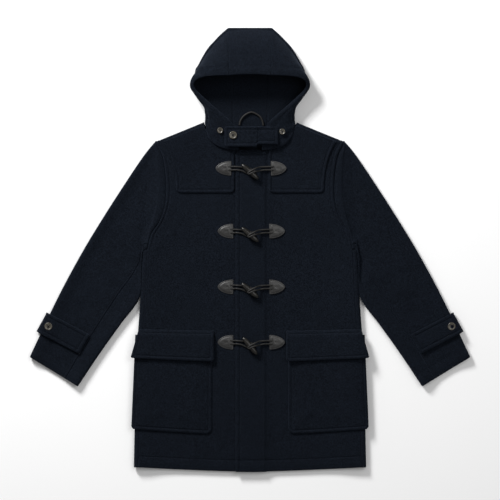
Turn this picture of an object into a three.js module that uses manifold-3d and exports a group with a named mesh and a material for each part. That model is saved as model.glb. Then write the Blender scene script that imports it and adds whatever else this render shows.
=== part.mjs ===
// A men's hooded duffle coat in heavy wool melton, laid on its back and fastened, with the sleeves out to the
// sides and the hood propped half open. Millimetres. The coat lies on the plane z = 0; +Y runs from the hem to
// the hood, +X runs to the wearer's left side, and +Z is up, out of the front. The origin is on the resting plane
// at the middle of the coat's bounding box. Every cloth piece is a wall of CLOTH thickness made from a grid of
// surface points; a piece that is sewn onto a panel is made from that panel's own surface, moved out.
import * as THREE from "three";
import { mergeVertices } from "three/addons/utils/BufferGeometryUtils.js";
import Module from "manifold-3d";

// ---- Driving dimensions -------------------------------------------------------------------------------------
const CLOTH = 2.4; // melton wall
const SEAM = 0.8; // gap between two cloth edges that are sewn together
const LAY = 0.5; // gap between a piece and what it lies on
const SIDE_FOLD = 8; // radius of the fold down each side of the body
const SIDE_SEAM_IN = 12.5; // the side seam lies this far inside the silhouette
const MIDDLE_TOP = 8.4; // height of the front's outer face where it lies on the back
const FOLD_REACH = 58; // how far the height of a fold carries into a panel
const HEM_SIDE_Y = -553;
const HEM_MIDDLE_DROP = 11; // the hem hangs lower at the front edge than at the sides
const NECK = { x: 115, y: 320, depth: 66 }; // half width and depth of the neckline's half ellipse
const SHOULDER = { x: 238, y: 270 };
const ARMPIT_Y = 8;
const BACK_FOLD_TOP = -22; // the side folds end here, just below the armpits
const BACK_NECK_Y = 305;
const BAND = { left: -36, right: 42, top: 249 }; // front band, edge to edge
const UNDERLAP = 20; // how far the wearer's right front runs on beneath the left one
const TOGGLE_ROWS = [208, 48, -94, -235];
const SLEEVE_FOLD = 7;
const SLEEVE_TOP = 8.2;

// The body's outline: half width of the silhouette at each height.
const BODY_ROWS = [
  { y: -553, half: 296 },
  { y: -400, half: 293 },
  { y: -250, half: 288 },
  { y: -133, half: 280 },
  { y: 8, half: 273 },
];
// The armhole, from the armpit to the shoulder point.
const ARMHOLE = [
  { x: 260.5, y: 8 },
  { x: 251, y: 42 },
  { x: 229, y: 74 },
  { x: 216, y: 110 },
  { x: 213, y: 160 },
  { x: 221, y: 228 },
  { x: 238, y: 270 },
];
// The sleeve at stations from the armhole to the cuff: points on its outer and inner folds.
const SLEEVE_ROWS = [
  { outX: 240, outY: 276, inX: 262, inY: 3 },
  { outX: 257, outY: 258, inX: 276, inY: -10 },
  { outX: 280, outY: 227, inX: 278.5, inY: -52 },
  { outX: 318, outY: 170, inX: 283, inY: -122 },
  { outX: 372, outY: 86, inX: 327, inY: -186 },
  { outX: 430, outY: -10, inX: 366, inY: -240 },
  { outX: 492, outY: -126, inX: 403, inY: -294 },
  { outX: 561, outY: -272, inX: 438, inY: -347 },
];
const SLEEVE_SEAM = 0.77; // place of the front sleeve seam, as a share of the way to the inner fold
const BACK_SLEEVE_SEAM = 0.62; // and of the back one
const SEAM_SHARE = 0.004; // half of a sleeve seam's gap, as such a share

// The hood's side panel from the crown seam to the neckline: the rim, a point that the panel passes on its way to
// the fold, the fold's crest and silhouette, and where the panel ends at the back crown seam.
const HOOD_ROWS = [
  {
    rimX: 53, rimY: 443, rimZ: 63,
    midX: 55, midY: 512, midZ: 47,
    foldX: 56, foldY: 566, foldR: 8, backY: 556,
  },
  {
    rimX: 88, rimY: 442, rimZ: 62,
    midX: 84, midY: 494, midZ: 47,
    foldX: 84, foldY: 540, foldR: 9, backY: 530,
  },
  {
    rimX: 122, rimY: 438, rimZ: 57,
    midX: 118, midY: 469, midZ: 46,
    foldX: 116, foldY: 500, foldR: 11, backY: 502,
  },
  {
    rimX: 141, rimY: 427, rimZ: 46,
    midX: 144, midY: 440, midZ: 42,
    foldX: 142, foldY: 448, foldR: 14, backY: 470,
  },
  {
    rimX: 139, rimY: 409, rimZ: 36,
    midX: 149, midY: 412, midZ: 35,
    foldX: 150, foldY: 414, foldR: 13, backY: 440,
  },
  {
    rimX: 112, rimY: 382, rimZ: 32,
    midX: 129, midY: 386, midZ: 33,
    foldX: 134, foldY: 386, foldR: 12, backY: 402,
  },
  {
    rimX: 78, rimY: 352, rimZ: 32,
    midX: 106, midY: 360, midZ: 33,
    foldX: 117, foldY: 364, foldR: 12, backY: 372,
  },
  {
    rimX: 48, rimY: 324, rimZ: 29,
    midX: 94, midY: 333, midZ: 30,
    foldX: 114, foldY: 348, foldR: 11, backY: 350,
  },
  {
    rimX: 34, rimY: 291, rimZ: 24,
    midX: 88, midY: 302, midZ: 25,
    foldX: 114, foldY: 336, foldR: 10, backY: 330,
  },
  {
    rimX: 30, rimY: 255, rimZ: 20,
    midX: 90, midY: 270, midZ: 21,
    foldX: 115, foldY: 322, foldR: 10, backY: 311,
  },
];
const CROWN = { backHalf: 44, narrowFrom: 450 }; // the strip's half width down the back, reached at this height

// The pieces that are sewn on. An edge that runs past the side fold has a place at its top and at its bottom.
const YOKE = { bottom: 146, outerBottom: 188, outerTop: 219, inner: 48, corner: 14 };
const POCKET = { inner: 98, outerTop: 292, outerBottom: 302, top: -222, bottom: -468, slant: 13, corner: 15 };
const FLAP = { inner: 93, outerTop: 283, outerBottom: 303, top: -206, bottom: -283, slant: 9, corner: 6 };
// Two corners on the outer fold and the front seam, and the step across its width.
const CUFF_TAB = { foldX: 517, foldY: -160, seamX: 410, seamY: -216, wideX: 26, wideY: -47 };
const BAND_CLOTH = 2; // the band's wall
const TAB = { left: -64, right: 71, top: 314, bottom: 263, stepAt: 18, stepUp: 6 };
const LEATHER_PATCH = { wide: 41, high: 38, thick: 2, corner: 9 };
const CORD_RADIUS = 2.1;
const TOGGLE = { half: 28.8, radius: 6.2, waist: 5.2 };
const TOGGLE_ANGLES = [-42, -40.5, -41, -50]; // degrees from +X

// ---- Helpers --------------------------------------------------------------------------------------------------
const lerp = (a, b, t) => a + (b - a) * t;
const clamp = (t) => Math.min(1, Math.max(0, t));
const smooth = (a, b, t) => {
  const s = clamp((t - a) / (b - a));
  return s * s * (3 - 2 * s);
};
const steps = (n) => Array.from({ length: n + 1 }, (_, i) => i / n);
const point = (x, y, z) => new THREE.Vector3(x, y, z);

// The columns of a table, interpolated by a smooth curve at t from 0 to 1.
function tableAt(rows, t) {
  const at = clamp(t) * (rows.length - 1);
  const i = Math.min(rows.length - 2, Math.floor(at));
  const f = at - i;
  const out = {};
  for (const key of Object.keys(rows[0])) {
    const p = [i - 1, i, i + 1, i + 2].map((k) => rows[Math.min(rows.length - 1, Math.max(0, k))][key]);
    out[key] =
      0.5 *
      (2 * p[1] +
        (p[2] - p[0]) * f +
        (2 * p[0] - 5 * p[1] + 4 * p[2] - p[3]) * f * f +
        (3 * p[1] - p[0] - 3 * p[2] + p[3]) * f * f * f);
  }
  return out;
}

// The columns of a table at a height y, by straight lines between its rows.
function tableAtY(rows, y) {
  let i = rows.findIndex((r) => r.y > y) - 1;
  if (i < 0) i = y < rows[0].y ? 0 : rows.length - 2;
  const f = clamp((y - rows[i].y) / (rows[i + 1].y - rows[i].y));
  const out = {};
  for (const key of Object.keys(rows[0])) out[key] = lerp(rows[i][key], rows[i + 1][key], f);
  return out;
}

// A geometry from vertices and quads that are split into triangles.
function geometryOf(vertices, quads) {
  const index = [];
  for (const [a, b, c, d] of quads) {
    index.push(a, b, c);
    if (d !== undefined) index.push(a, c, d);
  }
  const g = new THREE.BufferGeometry();
  g.setAttribute("position", new THREE.Float32BufferAttribute(vertices.flatMap((v) => [v.x, v.y, v.z]), 3));
  g.setIndex(index);
  return g;
}

// A closed wall: `grid` is rows of points on the outer face, seen anticlockwise from outside with rows running
// away and columns to the right, and the inner face is moved in by the thickness along the surface's normal.
function wall(grid, thickness = CLOTH) {
  const rows = grid.length;
  const columns = grid[0].length;
  const at = (i, j) => grid[Math.min(rows - 1, Math.max(0, i))][Math.min(columns - 1, Math.max(0, j))];
  const outer = [];
  const inner = [];
  for (let i = 0; i < rows; i++) {
    for (let j = 0; j < columns; j++) {
      const along = at(i, j + 1).clone().sub(at(i, j - 1));
      const away = at(i + 1, j).clone().sub(at(i - 1, j));
      const normal = along.cross(away).normalize();
      outer.push(at(i, j));
      inner.push(at(i, j).clone().addScaledVector(normal, -thickness));
    }
  }
  const vertices = [...outer, ...inner];
  const n = rows * columns;
  const id = (i, j) => i * columns + j;
  const quads = [];
  for (let i = 0; i < rows - 1; i++) {
    for (let j = 0; j < columns - 1; j++) {
      quads.push([id(i, j), id(i, j + 1), id(i + 1, j + 1), id(i + 1, j)]);
      quads.push([n + id(i, j), n + id(i + 1, j), n + id(i + 1, j + 1), n + id(i, j + 1)]);
    }
  }
  for (let j = 0; j < columns - 1; j++) {
    quads.push([id(0, j + 1), id(0, j), n + id(0, j), n + id(0, j + 1)]);
    quads.push([id(rows - 1, j), id(rows - 1, j + 1), n + id(rows - 1, j + 1), n + id(rows - 1, j)]);
  }
  for (let i = 0; i < rows - 1; i++) {
    quads.push([id(i, 0), id(i + 1, 0), n + id(i + 1, 0), n + id(i, 0)]);
    const [low, high] = [id(i, columns - 1), id(i + 1, columns - 1)];
    quads.push([high, low, n + low, n + high]);
  }
  return geometryOf(vertices, quads);
}

// The union of two closed geometries.
const wasm = await Module();
wasm.setup();
function solidOf(geometry) {
  const merged = mergeVertices(geometry, 1e-3);
  const vertProperties = merged.attributes.position.array;
  const triVerts = new Uint32Array(merged.index.array);
  const mesh = { numProp: 3, vertProperties, triVerts };
  return new wasm.Manifold(new wasm.Mesh(mesh));
}
function joined(a, b) {
  const mesh = solidOf(a).add(solidOf(b)).getMesh();
  const g = new THREE.BufferGeometry();
  g.setAttribute("position", new THREE.Float32BufferAttribute(mesh.vertProperties, 3));
  g.setIndex(new THREE.BufferAttribute(mesh.triVerts, 1));
  return g;
}

// The same grid for the other side of the coat.
const mirrored = (grid) => grid.map((row) => row.map((p) => point(-p.x, p.y, p.z)).reverse());

// ---- Materials ------------------------------------------------------------------------------------------------
const MELTON = new THREE.MeshStandardMaterial({ color: 0x141a24, roughness: 0.95, metalness: 0 });
const LEATHER = new THREE.MeshStandardMaterial({ color: 0x3d3b3a, roughness: 0.45, metalness: 0 });
const CORD = new THREE.MeshStandardMaterial({ color: 0x35312d, roughness: 0.6, metalness: 0 });
const HORN = new THREE.MeshStandardMaterial({ color: 0x26231f, roughness: 0.35, metalness: 0 });
const BUTTON = new THREE.MeshStandardMaterial({ color: 0x4d493f, roughness: 0.3, metalness: 0 });

const coat = new THREE.Group();
function add(name, geometry, material) {
  const mesh = new THREE.Mesh(geometry, material);
  mesh.name = name;
  coat.add(mesh);
  return mesh;
}

// ---- Body -----------------------------------------------------------------------------------------------------
const halfWidth = (y) => tableAtY(BODY_ROWS, y).half;
const hemY = (x) => HEM_SIDE_Y - HEM_MIDDLE_DROP * (1 - Math.min(1, Math.abs(x) / 280) ** 1.5);

// The front's upper boundary at a distance x from the middle: the neckline's half ellipse, then the shoulder.
function topY(x) {
  const far = Math.abs(x);
  if (far < NECK.x) return NECK.y - NECK.depth * Math.sqrt(1 - (far / NECK.x) ** 2);
  return lerp(NECK.y, SHOULDER.y, Math.min(1, (far - NECK.x) / (SHOULDER.x - NECK.x)));
}

// Height of the front's outer face, which lies on the back in the middle and rises to the side folds.
function frontHeight(x, y) {
  const in_ = Math.max(0, halfWidth(Math.min(y, ARMPIT_Y)) - SIDE_FOLD - Math.abs(x));
  const side = y > ARMPIT_Y ? Math.max(in_ - 38 * smooth(ARMPIT_Y, 110, y), 0) : in_;
  const shoulder = Math.max(0, topY(Math.max(Math.abs(x), NECK.x)) - y);
  const rise = 2 * SIDE_FOLD - MIDDLE_TOP;
  const low = (1 - Math.exp(-((side / FOLD_REACH) ** 2))) * (1 - Math.exp(-((shoulder / FOLD_REACH) ** 2)));
  return MIDDLE_TOP + rise * (1 - low);
}
// The wearer's left front passes over the right one at the middle of the coat.
function overlapHeight(x, y) {
  const past = smooth(UNDERLAP + 22, UNDERLAP + 42, x);
  return frontHeight(x, y) + (CLOTH + LAY) * (1 - past);
}

// A front panel's grid, from the side seam and armhole to the front edge, and round the shoulder's fold.
function frontGrid(sideSign, edgeX, height, columns) {
  const sides = [
    ...[-553, -440, -330, -230, -133, -60].map((y) => ({ x: halfWidth(y) - SIDE_SEAM_IN, y })),
    ...steps(7).map((t) => tableAt(ARMHOLE, t)),
  ];
  const grid = sides.map((side) => {
    const share = (side.y - HEM_SIDE_Y) / (SHOULDER.y - HEM_SIDE_Y);
    return columns.map((u) => {
      const x = lerp(sideSign * (side.x - SEAM), edgeX, u);
      const y = lerp(hemY(x), topY(x), share);
      return point(x, y, height(x, y));
    });
  });
  const top = grid[grid.length - 1];
  for (const turn of [0.3, 0.62, 0.86]) {
    grid.push(
      top.map((p) => {
        const overShoulder = Math.abs(p.x) >= NECK.x;
        const radius = p.z / 2 - 1.6;
        const out = overShoulder ? radius * Math.sin(turn * Math.PI) : 0;
        const drop = overShoulder ? radius * (1 - Math.cos(turn * Math.PI)) : 3 * turn;
        return point(p.x, p.y + out, p.z - drop);
      }),
    );
  }
  return grid;
}
// Columns lie closer together where the neckline turns up to the shoulder.
const FRONT_COLUMNS = [0, 0.13, 0.27, 0.4, 0.44, 0.47, 0.52, 0.6, 0.72, 0.86, 1];
add("front_right", wall(frontGrid(-1, UNDERLAP, frontHeight, FRONT_COLUMNS)), MELTON);
const OVERLAP_COLUMNS = [0, 0.13, 0.27, 0.4, 0.44, 0.47, 0.52, 0.6, 0.7, 0.765, 0.88, 1];
const leftFront = frontGrid(1, BAND.left + 2, overlapHeight, OVERLAP_COLUMNS).map((row) => row.reverse());
add("front_left", wall(leftFront), MELTON);

// The back lies on the floor and turns up round both sides to the side seams.
function backGrid() {
  const turns = [1, 0.8, 0.6, 0.4, 0.2];
  const floorColumns = [-1, -0.5, 0, 0.5, 1];
  return [-553, -440, -330, -230, -133, -60, BACK_FOLD_TOP].map((y) => {
    const half = halfWidth(y);
    const rowY = (x) => y + (hemY(x) - HEM_SIDE_Y) * (1 - (y - HEM_SIDE_Y) / (ARMPIT_Y - HEM_SIDE_Y));
    const turned = (turn, sign) => {
      const angle = turn * Math.PI;
      const x = sign * (half - SIDE_FOLD + SIDE_FOLD * Math.sin(angle));
      return point(x, rowY(x), SIDE_FOLD * (1 - Math.cos(angle)));
    };
    const seamX = half - SIDE_SEAM_IN;
    const edge = (sign) => point(sign * seamX, rowY(seamX), 2 * SIDE_FOLD);
    const floor = floorColumns.map((c) => point(c * (half - SIDE_FOLD), rowY(c * half), 0));
    return [
      edge(1),
      ...turns.map((t) => turned(t, 1)),
      ...floor.reverse(),
      ...[...turns].reverse().map((t) => turned(t, -1)),
      edge(-1),
    ];
  });
}

// Between the armholes the back is flat, up to the shoulders and the back of the neck.
function upperBackGrid() {
  const columns = [-1, -0.75, -0.5, -0.47, 0, 0.47, 0.5, 0.75, 1];
  const overlap = 2; // runs this far into the lower grid, so that the two join
  return steps(7).map((t) => {
    const side = tableAt(ARMHOLE, t);
    const share = (side.y - ARMPIT_Y) / (SHOULDER.y - ARMPIT_Y);
    return columns
      .map((c) => {
        const x = c * (side.x - SEAM);
        const top = Math.abs(x) < NECK.x ? BACK_NECK_Y : topY(x);
        const bottom = BACK_FOLD_TOP - overlap - 4 * (1 - Math.abs(c));
        return point(x, lerp(bottom, top, share), 0);
      })
      .reverse();
  });
}
add("back", joined(wall(backGrid()), wall(upperBackGrid())), MELTON);

// Height of the highest face below a place, among the pieces made so far.
const down = new THREE.Raycaster();
function supportAt(x, y) {
  coat.updateMatrixWorld(true);
  down.set(point(x, y, 300), point(0, 0, -1));
  const hit = down.intersectObject(coat, true)[0];
  return hit ? hit.point.z : 0;
}
const supportUnder = (places) => Math.max(...places.map(([x, y]) => supportAt(x, y)));
function ring(x, y, radius) {
  const around = steps(8).map((t) => 2 * Math.PI * t);
  return [[x, y], ...around.map((a) => [x + radius * Math.cos(a), y + radius * Math.sin(a)])];
}

// ---- What is sewn onto the fronts -----------------------------------------------------------------------------
// A patch on a panel: `outline(u, v)` gives a place from the patch's own edges, and `height` the face it lies on.
function patch(outline, height, lift, columns, rows, thickness = CLOTH) {
  const grid = rows.map((v) =>
    columns.map((u) => {
      const { x, y } = outline(u, v);
      return point(x, y, height(x, y) + LAY + thickness + lift(u, v));
    }),
  );
  return wall(grid, thickness);
}
const flat = () => 0;
const even = (n) => steps(n);

// A yoke covers the shoulder down to the level of the armhole's middle, with two round corners.
function yokeOutline(u, v, sign) {
  const innerX = sign > 0 ? YOKE.inner : YOKE.inner - 8;
  const outerX = lerp(YOKE.outerBottom, YOKE.outerTop, v * v);
  const x = lerp(innerX, outerX, u);
  const toCorner = Math.min(x - innerX, outerX - x);
  const cut = YOKE.corner - Math.min(YOKE.corner, toCorner);
  const round = YOKE.corner - Math.sqrt(YOKE.corner ** 2 - cut ** 2);
  return { x: sign * x, y: lerp(YOKE.bottom + round, topY(x) - 4, v) };
}
const YOKE_COLUMNS = [0, 0.03, 0.1, 0.25, 0.4, 0.5, 0.6, 0.75, 0.9, 0.97, 1];
for (const [name, sign] of [
  ["yoke_right", -1],
  ["yoke_left", 1],
]) {
  const columns = sign > 0 ? YOKE_COLUMNS : [...YOKE_COLUMNS].reverse();
  const support = (x, y) => supportUnder(ring(x, y, 9));
  add(name, patch((u, v) => yokeOutline(u, v, sign), support, flat, columns, even(6)), MELTON);
}

add(
  "front_band",
  patch(
    (u, v) => {
      const x = lerp(BAND.left, BAND.right, u);
      return { x, y: lerp(hemY(x) - 1, BAND.top, v) };
    },
    (x, y) => overlapHeight(Math.min(x, UNDERLAP + 18), y),
    flat,
    even(3),
    even(8),
    BAND_CLOTH,
  ),
  MELTON,
);

// A patch pocket with its flap. Both run out past the side fold, and droop there.
function besideFold(x, y) {
  const crest = halfWidth(y) - SIDE_FOLD;
  const past = Math.max(0, x - crest);
  return frontHeight(Math.min(x, crest), y) - 0.012 * past ** 2;
}
function pocketOutline(shape, u, v) {
  const outer = lerp(shape.outerBottom, shape.outerTop, v);
  const x = lerp(shape.inner, outer, u);
  const toInner = Math.min(shape.corner, x - shape.inner);
  const toOuter = Math.min(shape.corner * 0.5, outer - x);
  const round = (r, d) => r - Math.sqrt(r * r - (r - d) ** 2);
  const up = round(shape.corner, toInner) + round(shape.corner * 0.5, toOuter);
  const slant = shape.slant * ((x - shape.inner) / (outer - shape.inner)) ** 1.3;
  return { x, y: lerp(shape.bottom + up + slant, shape.top + slant * 0.45, v) };
}
const POCKET_COLUMNS = [0, 0.02, 0.07, 0.3, 0.5, 0.7, 0.85, 0.93, 0.98, 1];
const pocketPuff = (u, v) => 5 * (1 - 0.5 * v) * Math.min(1, 5 * u, 4 * (1 - u), 0.15 + 6 * v);
const FLAP_ROWS = [0, 0.35, 0.65, 0.8, 0.9, 1];
const flapLift = (u, v) => (v > 0.8 ? 6.4 * smooth(1, 0.8, v) : 6.4 + 3 * (0.8 - v));
for (const [side, sign] of [
  ["right", -1],
  ["left", 1],
]) {
  const columns = sign > 0 ? POCKET_COLUMNS : [...POCKET_COLUMNS].reverse();
  const place = (shape) => (u, v) => {
    const p = pocketOutline(shape, u, v);
    return { x: sign * p.x, y: p.y };
  };
  const height = (x, y) => besideFold(Math.abs(x), y);
  add("pocket_" + side, patch(place(POCKET), height, pocketPuff, columns, even(7)), MELTON);
  add("pocket_flap_" + side, patch(place(FLAP), height, flapLift, columns, FLAP_ROWS), MELTON);
}

// ---- Sleeves --------------------------------------------------------------------------------------------------
// A point of the sleeve's outer face: `share` runs along the sleeve from armhole to cuff, `across` from the outer
// fold to the inner one, and `turn` round the folds, from 0 at the top to 1 at the floor.
function sleeveRow(share) {
  const row = tableAt(SLEEVE_ROWS, share);
  const out = point(row.outX, row.outY, 0);
  const inn = point(row.inX, row.inY, 0);
  return { out, inn, width: out.distanceTo(inn), across: inn.clone().sub(out).normalize() };
}
function sleeveTop(share, across) {
  const { out, inn, width, across: dir } = sleeveRow(share);
  const r = SLEEVE_FOLD;
  const s = lerp(r, width - r, across);
  const place = out.clone().addScaledVector(dir, s);
  const edge = Math.exp(-(((s - r) / 26) ** 2)) + Math.exp(-(((width - r - s) / 26) ** 2));
  let z = SLEEVE_TOP + (2 * r - SLEEVE_TOP) * Math.min(1, edge);
  // The head of the sleeve follows the armhole and the front's height there.
  const head = clamp(1 - share / 0.16);
  if (head > 0) {
    const hole = tableAt(ARMHOLE, 1 - across);
    const joint = point(hole.x + 3 * SEAM, hole.y, 0);
    const ease = head * head * (3 - 2 * head);
    place.lerp(joint, share === 0 ? 1 : ease * 0.55);
    z = lerp(z, frontHeight(hole.x, hole.y), ease);
  }
  place.z = z;
  return place;
}
function sleeveFold(share, atOuter, turn) {
  const crest = sleeveTop(share, atOuter ? 0 : 1);
  const { across: dir } = sleeveRow(share);
  const r = crest.z / 2;
  const angle = turn * Math.PI;
  const outward = (atOuter ? -1 : 1) * r * Math.sin(angle);
  return point(crest.x + dir.x * outward, crest.y + dir.y * outward, r * (1 + Math.cos(angle)));
}
const onFloor = (p) => point(p.x, p.y, 0);
const SLEEVE_STEPS = [0, 0.06, 0.143, 0.286, 0.43, 0.57, 0.71, 0.857, 1];
const upperSleeve = SLEEVE_STEPS.map((share) => [
  ...[BACK_SLEEVE_SEAM, 0.3, 0].map((a) => onFloor(sleeveTop(share, a))),
  ...[0.75, 0.5, 0.25].map((t) => sleeveFold(share, true, t)),
  ...[0, 0.12, 0.28, 0.5, SLEEVE_SEAM - SEAM_SHARE].map((a) => sleeveTop(share, a)),
]);
const underSleeve = SLEEVE_STEPS.map((share) => [
  ...[SLEEVE_SEAM + SEAM_SHARE, 0.88, 1].map((a) => sleeveTop(share, a)),
  ...[0.25, 0.5, 0.75].map((t) => sleeveFold(share, false, t)),
  ...[1, BACK_SLEEVE_SEAM + 2 * SEAM_SHARE].map((a) => onFloor(sleeveTop(share, a))),
]);
for (const [side, turned] of [
  ["left", (grid) => grid],
  ["right", mirrored],
]) {
  add("sleeve_upper_" + side, wall(turned(upperSleeve)), MELTON);
  add("sleeve_under_" + side, wall(turned(underSleeve)), MELTON);
}
// A cuff tab is sewn in at the front seam and runs out over the outer fold.
const cuffTab = even(4).map((v) =>
  [0, 0.08, 0.2, 0.4, 0.6, 0.8, 1].map((u) => {
    const x = lerp(CUFF_TAB.foldX, CUFF_TAB.seamX, u) + v * CUFF_TAB.wideX;
    const y = lerp(CUFF_TAB.foldY, CUFF_TAB.seamY, u) + v * CUFF_TAB.wideY;
    return point(x, y, supportUnder(ring(x, y, 9)) + LAY + CLOTH);
  }),
);
add("cuff_tab_left", wall(cuffTab), MELTON);
add("cuff_tab_right", wall(mirrored(cuffTab)), MELTON);

// ---- Hood -----------------------------------------------------------------------------------------------------
// One line of a hood panel, from the rim over the front, round the fold and along the floor to the back seam.
function hoodLine(row) {
  const rim = point(row.rimX, row.rimY, row.rimZ);
  const mid = point(row.midX, row.midY, row.midZ);
  const silhouette = point(row.foldX, row.foldY, row.foldR);
  const out = silhouette.clone().sub(mid).setZ(0).normalize();
  const crest = silhouette.clone().addScaledVector(out, -row.foldR).setZ(2 * row.foldR);
  const pull = mid.clone().multiplyScalar(2).addScaledVector(rim, -0.5).addScaledVector(crest, -0.5);
  const line = new THREE.QuadraticBezierCurve3(rim, pull, crest).getPoints(5);
  for (const turn of [0.25, 0.5, 0.75]) {
    const p = crest.clone().addScaledVector(out, row.foldR * Math.sin(turn * Math.PI));
    line.push(p.setZ(row.foldR * (1 + Math.cos(turn * Math.PI))));
  }
  const floor = crest.clone().setZ(0);
  const widen = smooth(CROWN.narrowFrom, HOOD_ROWS[0].backY, row.backY);
  const back = point(lerp(CROWN.backHalf, row.foldX - 2, widen), row.backY, 0);
  return [...line, floor, floor.clone().lerp(back, 0.5), back];
}
const hoodSide = steps(12).map((t) => hoodLine(tableAt(HOOD_ROWS, 1 - t)));
// The crown strip runs between the sides' edges, over the top and down the back to the neckline.
const overTop = hoodSide[hoodSide.length - 1];
const downBack = [...hoodSide].reverse().map((row) => row[row.length - 1]);
const crown = [...overTop.slice(0, -2), ...downBack].map((edge, i) =>
  [-1, -0.5, 0, 0.5, 1].map((c) => {
    const bow = i < 7 ? 2.5 * (1 - c * c) : 0;
    return point(c * (edge.x - 2 * SEAM), edge.y + bow, edge.z);
  }),
);
add("hood_crown", wall(crown), MELTON);
add("hood_side_left", wall(hoodSide), MELTON);
add("hood_side_right", wall(mirrored(hoodSide)), MELTON);

// ---- Small pieces ---------------------------------------------------------------------------------------------
// The throat tab closes the hood across the neck; its lower edge steps down left of the middle.
const tabColumns = steps(9);
const tabRows = steps(3);
const tabPlaces = tabRows.map((v) =>
  tabColumns.map((u) => {
    const x = lerp(TAB.left, TAB.right, u);
    const bottom = TAB.bottom + TAB.stepUp * smooth(TAB.stepAt - 8, TAB.stepAt + 8, x);
    return [x, lerp(bottom, TAB.top, v)];
  }),
);
const tabSupport = supportUnder(tabPlaces.flat());
const tabTop = (x) => tabSupport + LAY + CLOTH - 0.0006 * x * x + 2.6;
add("throat_tab", wall(tabPlaces.map((row) => row.map(([x, y]) => point(x, y, tabTop(x))))), MELTON);

// A round button with a rim, lying flat on what is beneath it.
function button(name, x, y, radius, turned = 11) {
  const profile = [
    [0, 0],
    [radius * 0.86, 0],
    [radius, 1.3],
    [radius * 0.88, 3],
    [radius * 0.7, 2.6],
    [0, 2.2],
  ].map(([r, z]) => new THREE.Vector2(r, z));
  const geometry = new THREE.LatheGeometry(profile, turned).rotateX(Math.PI / 2);
  const mesh = add(name, geometry, BUTTON);
  coat.remove(mesh);
  mesh.position.set(x, y, supportUnder(ring(x, y, radius)) + LAY);
  coat.add(mesh);
}
button("throat_button", -43, 292, 10);
button("latch_button_right", -76, 304, 7.5);
button("latch_button_left", 82, 301, 7.5);
for (const [side, sign] of [
  ["right", -1],
  ["left", 1],
]) {
  button("cuff_button_" + side, sign * 513, -194, 10);
}

// Each toggle row has a leather patch on either side of the band, flat edge inward and a rounded tip outward.
function patchShape(sign) {
  const { wide, high, corner } = LEATHER_PATCH;
  const h = high / 2;
  const shape = new THREE.Shape();
  shape.moveTo(0, -h + 3);
  shape.quadraticCurveTo(0, -h, 3 * sign, -h);
  shape.lineTo(sign * (wide * 0.34), -h * 0.93);
  shape.quadraticCurveTo(sign * wide * 0.6, -h * 0.8, sign * (wide - 3), -corner * 0.55);
  shape.quadraticCurveTo(sign * (wide + 1), 0, sign * (wide - 3), corner * 0.55);
  shape.quadraticCurveTo(sign * wide * 0.6, h * 0.8, sign * (wide * 0.34), h * 0.93);
  shape.lineTo(3 * sign, h);
  shape.quadraticCurveTo(0, h, 0, h - 3);
  return shape;
}
const patchOptions = { depth: LEATHER_PATCH.thick, bevelEnabled: false, curveSegments: 4 };

// A length of round braid along a path.
function braid(path, pieces) {
  const corners = steps(6).slice(1);
  const round = new THREE.Shape(
    corners.map((t) => {
      const angle = 2 * Math.PI * t;
      return new THREE.Vector2(CORD_RADIUS * Math.cos(angle), CORD_RADIUS * Math.sin(angle));
    }),
  );
  return new THREE.ExtrudeGeometry(round, { steps: pieces, bevelEnabled: false, extrudePath: path });
}
// A cord is bent double: both its ends are at the leather patch, and its bend is at the toggle. `stations` runs
// from the patch to the bend, each with a place along x and a height.
function cord(name, row, stations, bendY) {
  const last = stations[stations.length - 1];
  const side = (sign) =>
    stations.slice(0, -1).map(({ x, z, spread = 4.2 }, i) => {
      const share = i / (stations.length - 1);
      return point(x, lerp(row, bendY, share) + sign * spread, z);
    });
  const path = new THREE.CatmullRomCurve3([...side(1), point(last.x, bendY, last.z), ...side(-1).reverse()]);
  add(name, braid(path, 18), CORD);
}

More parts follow.
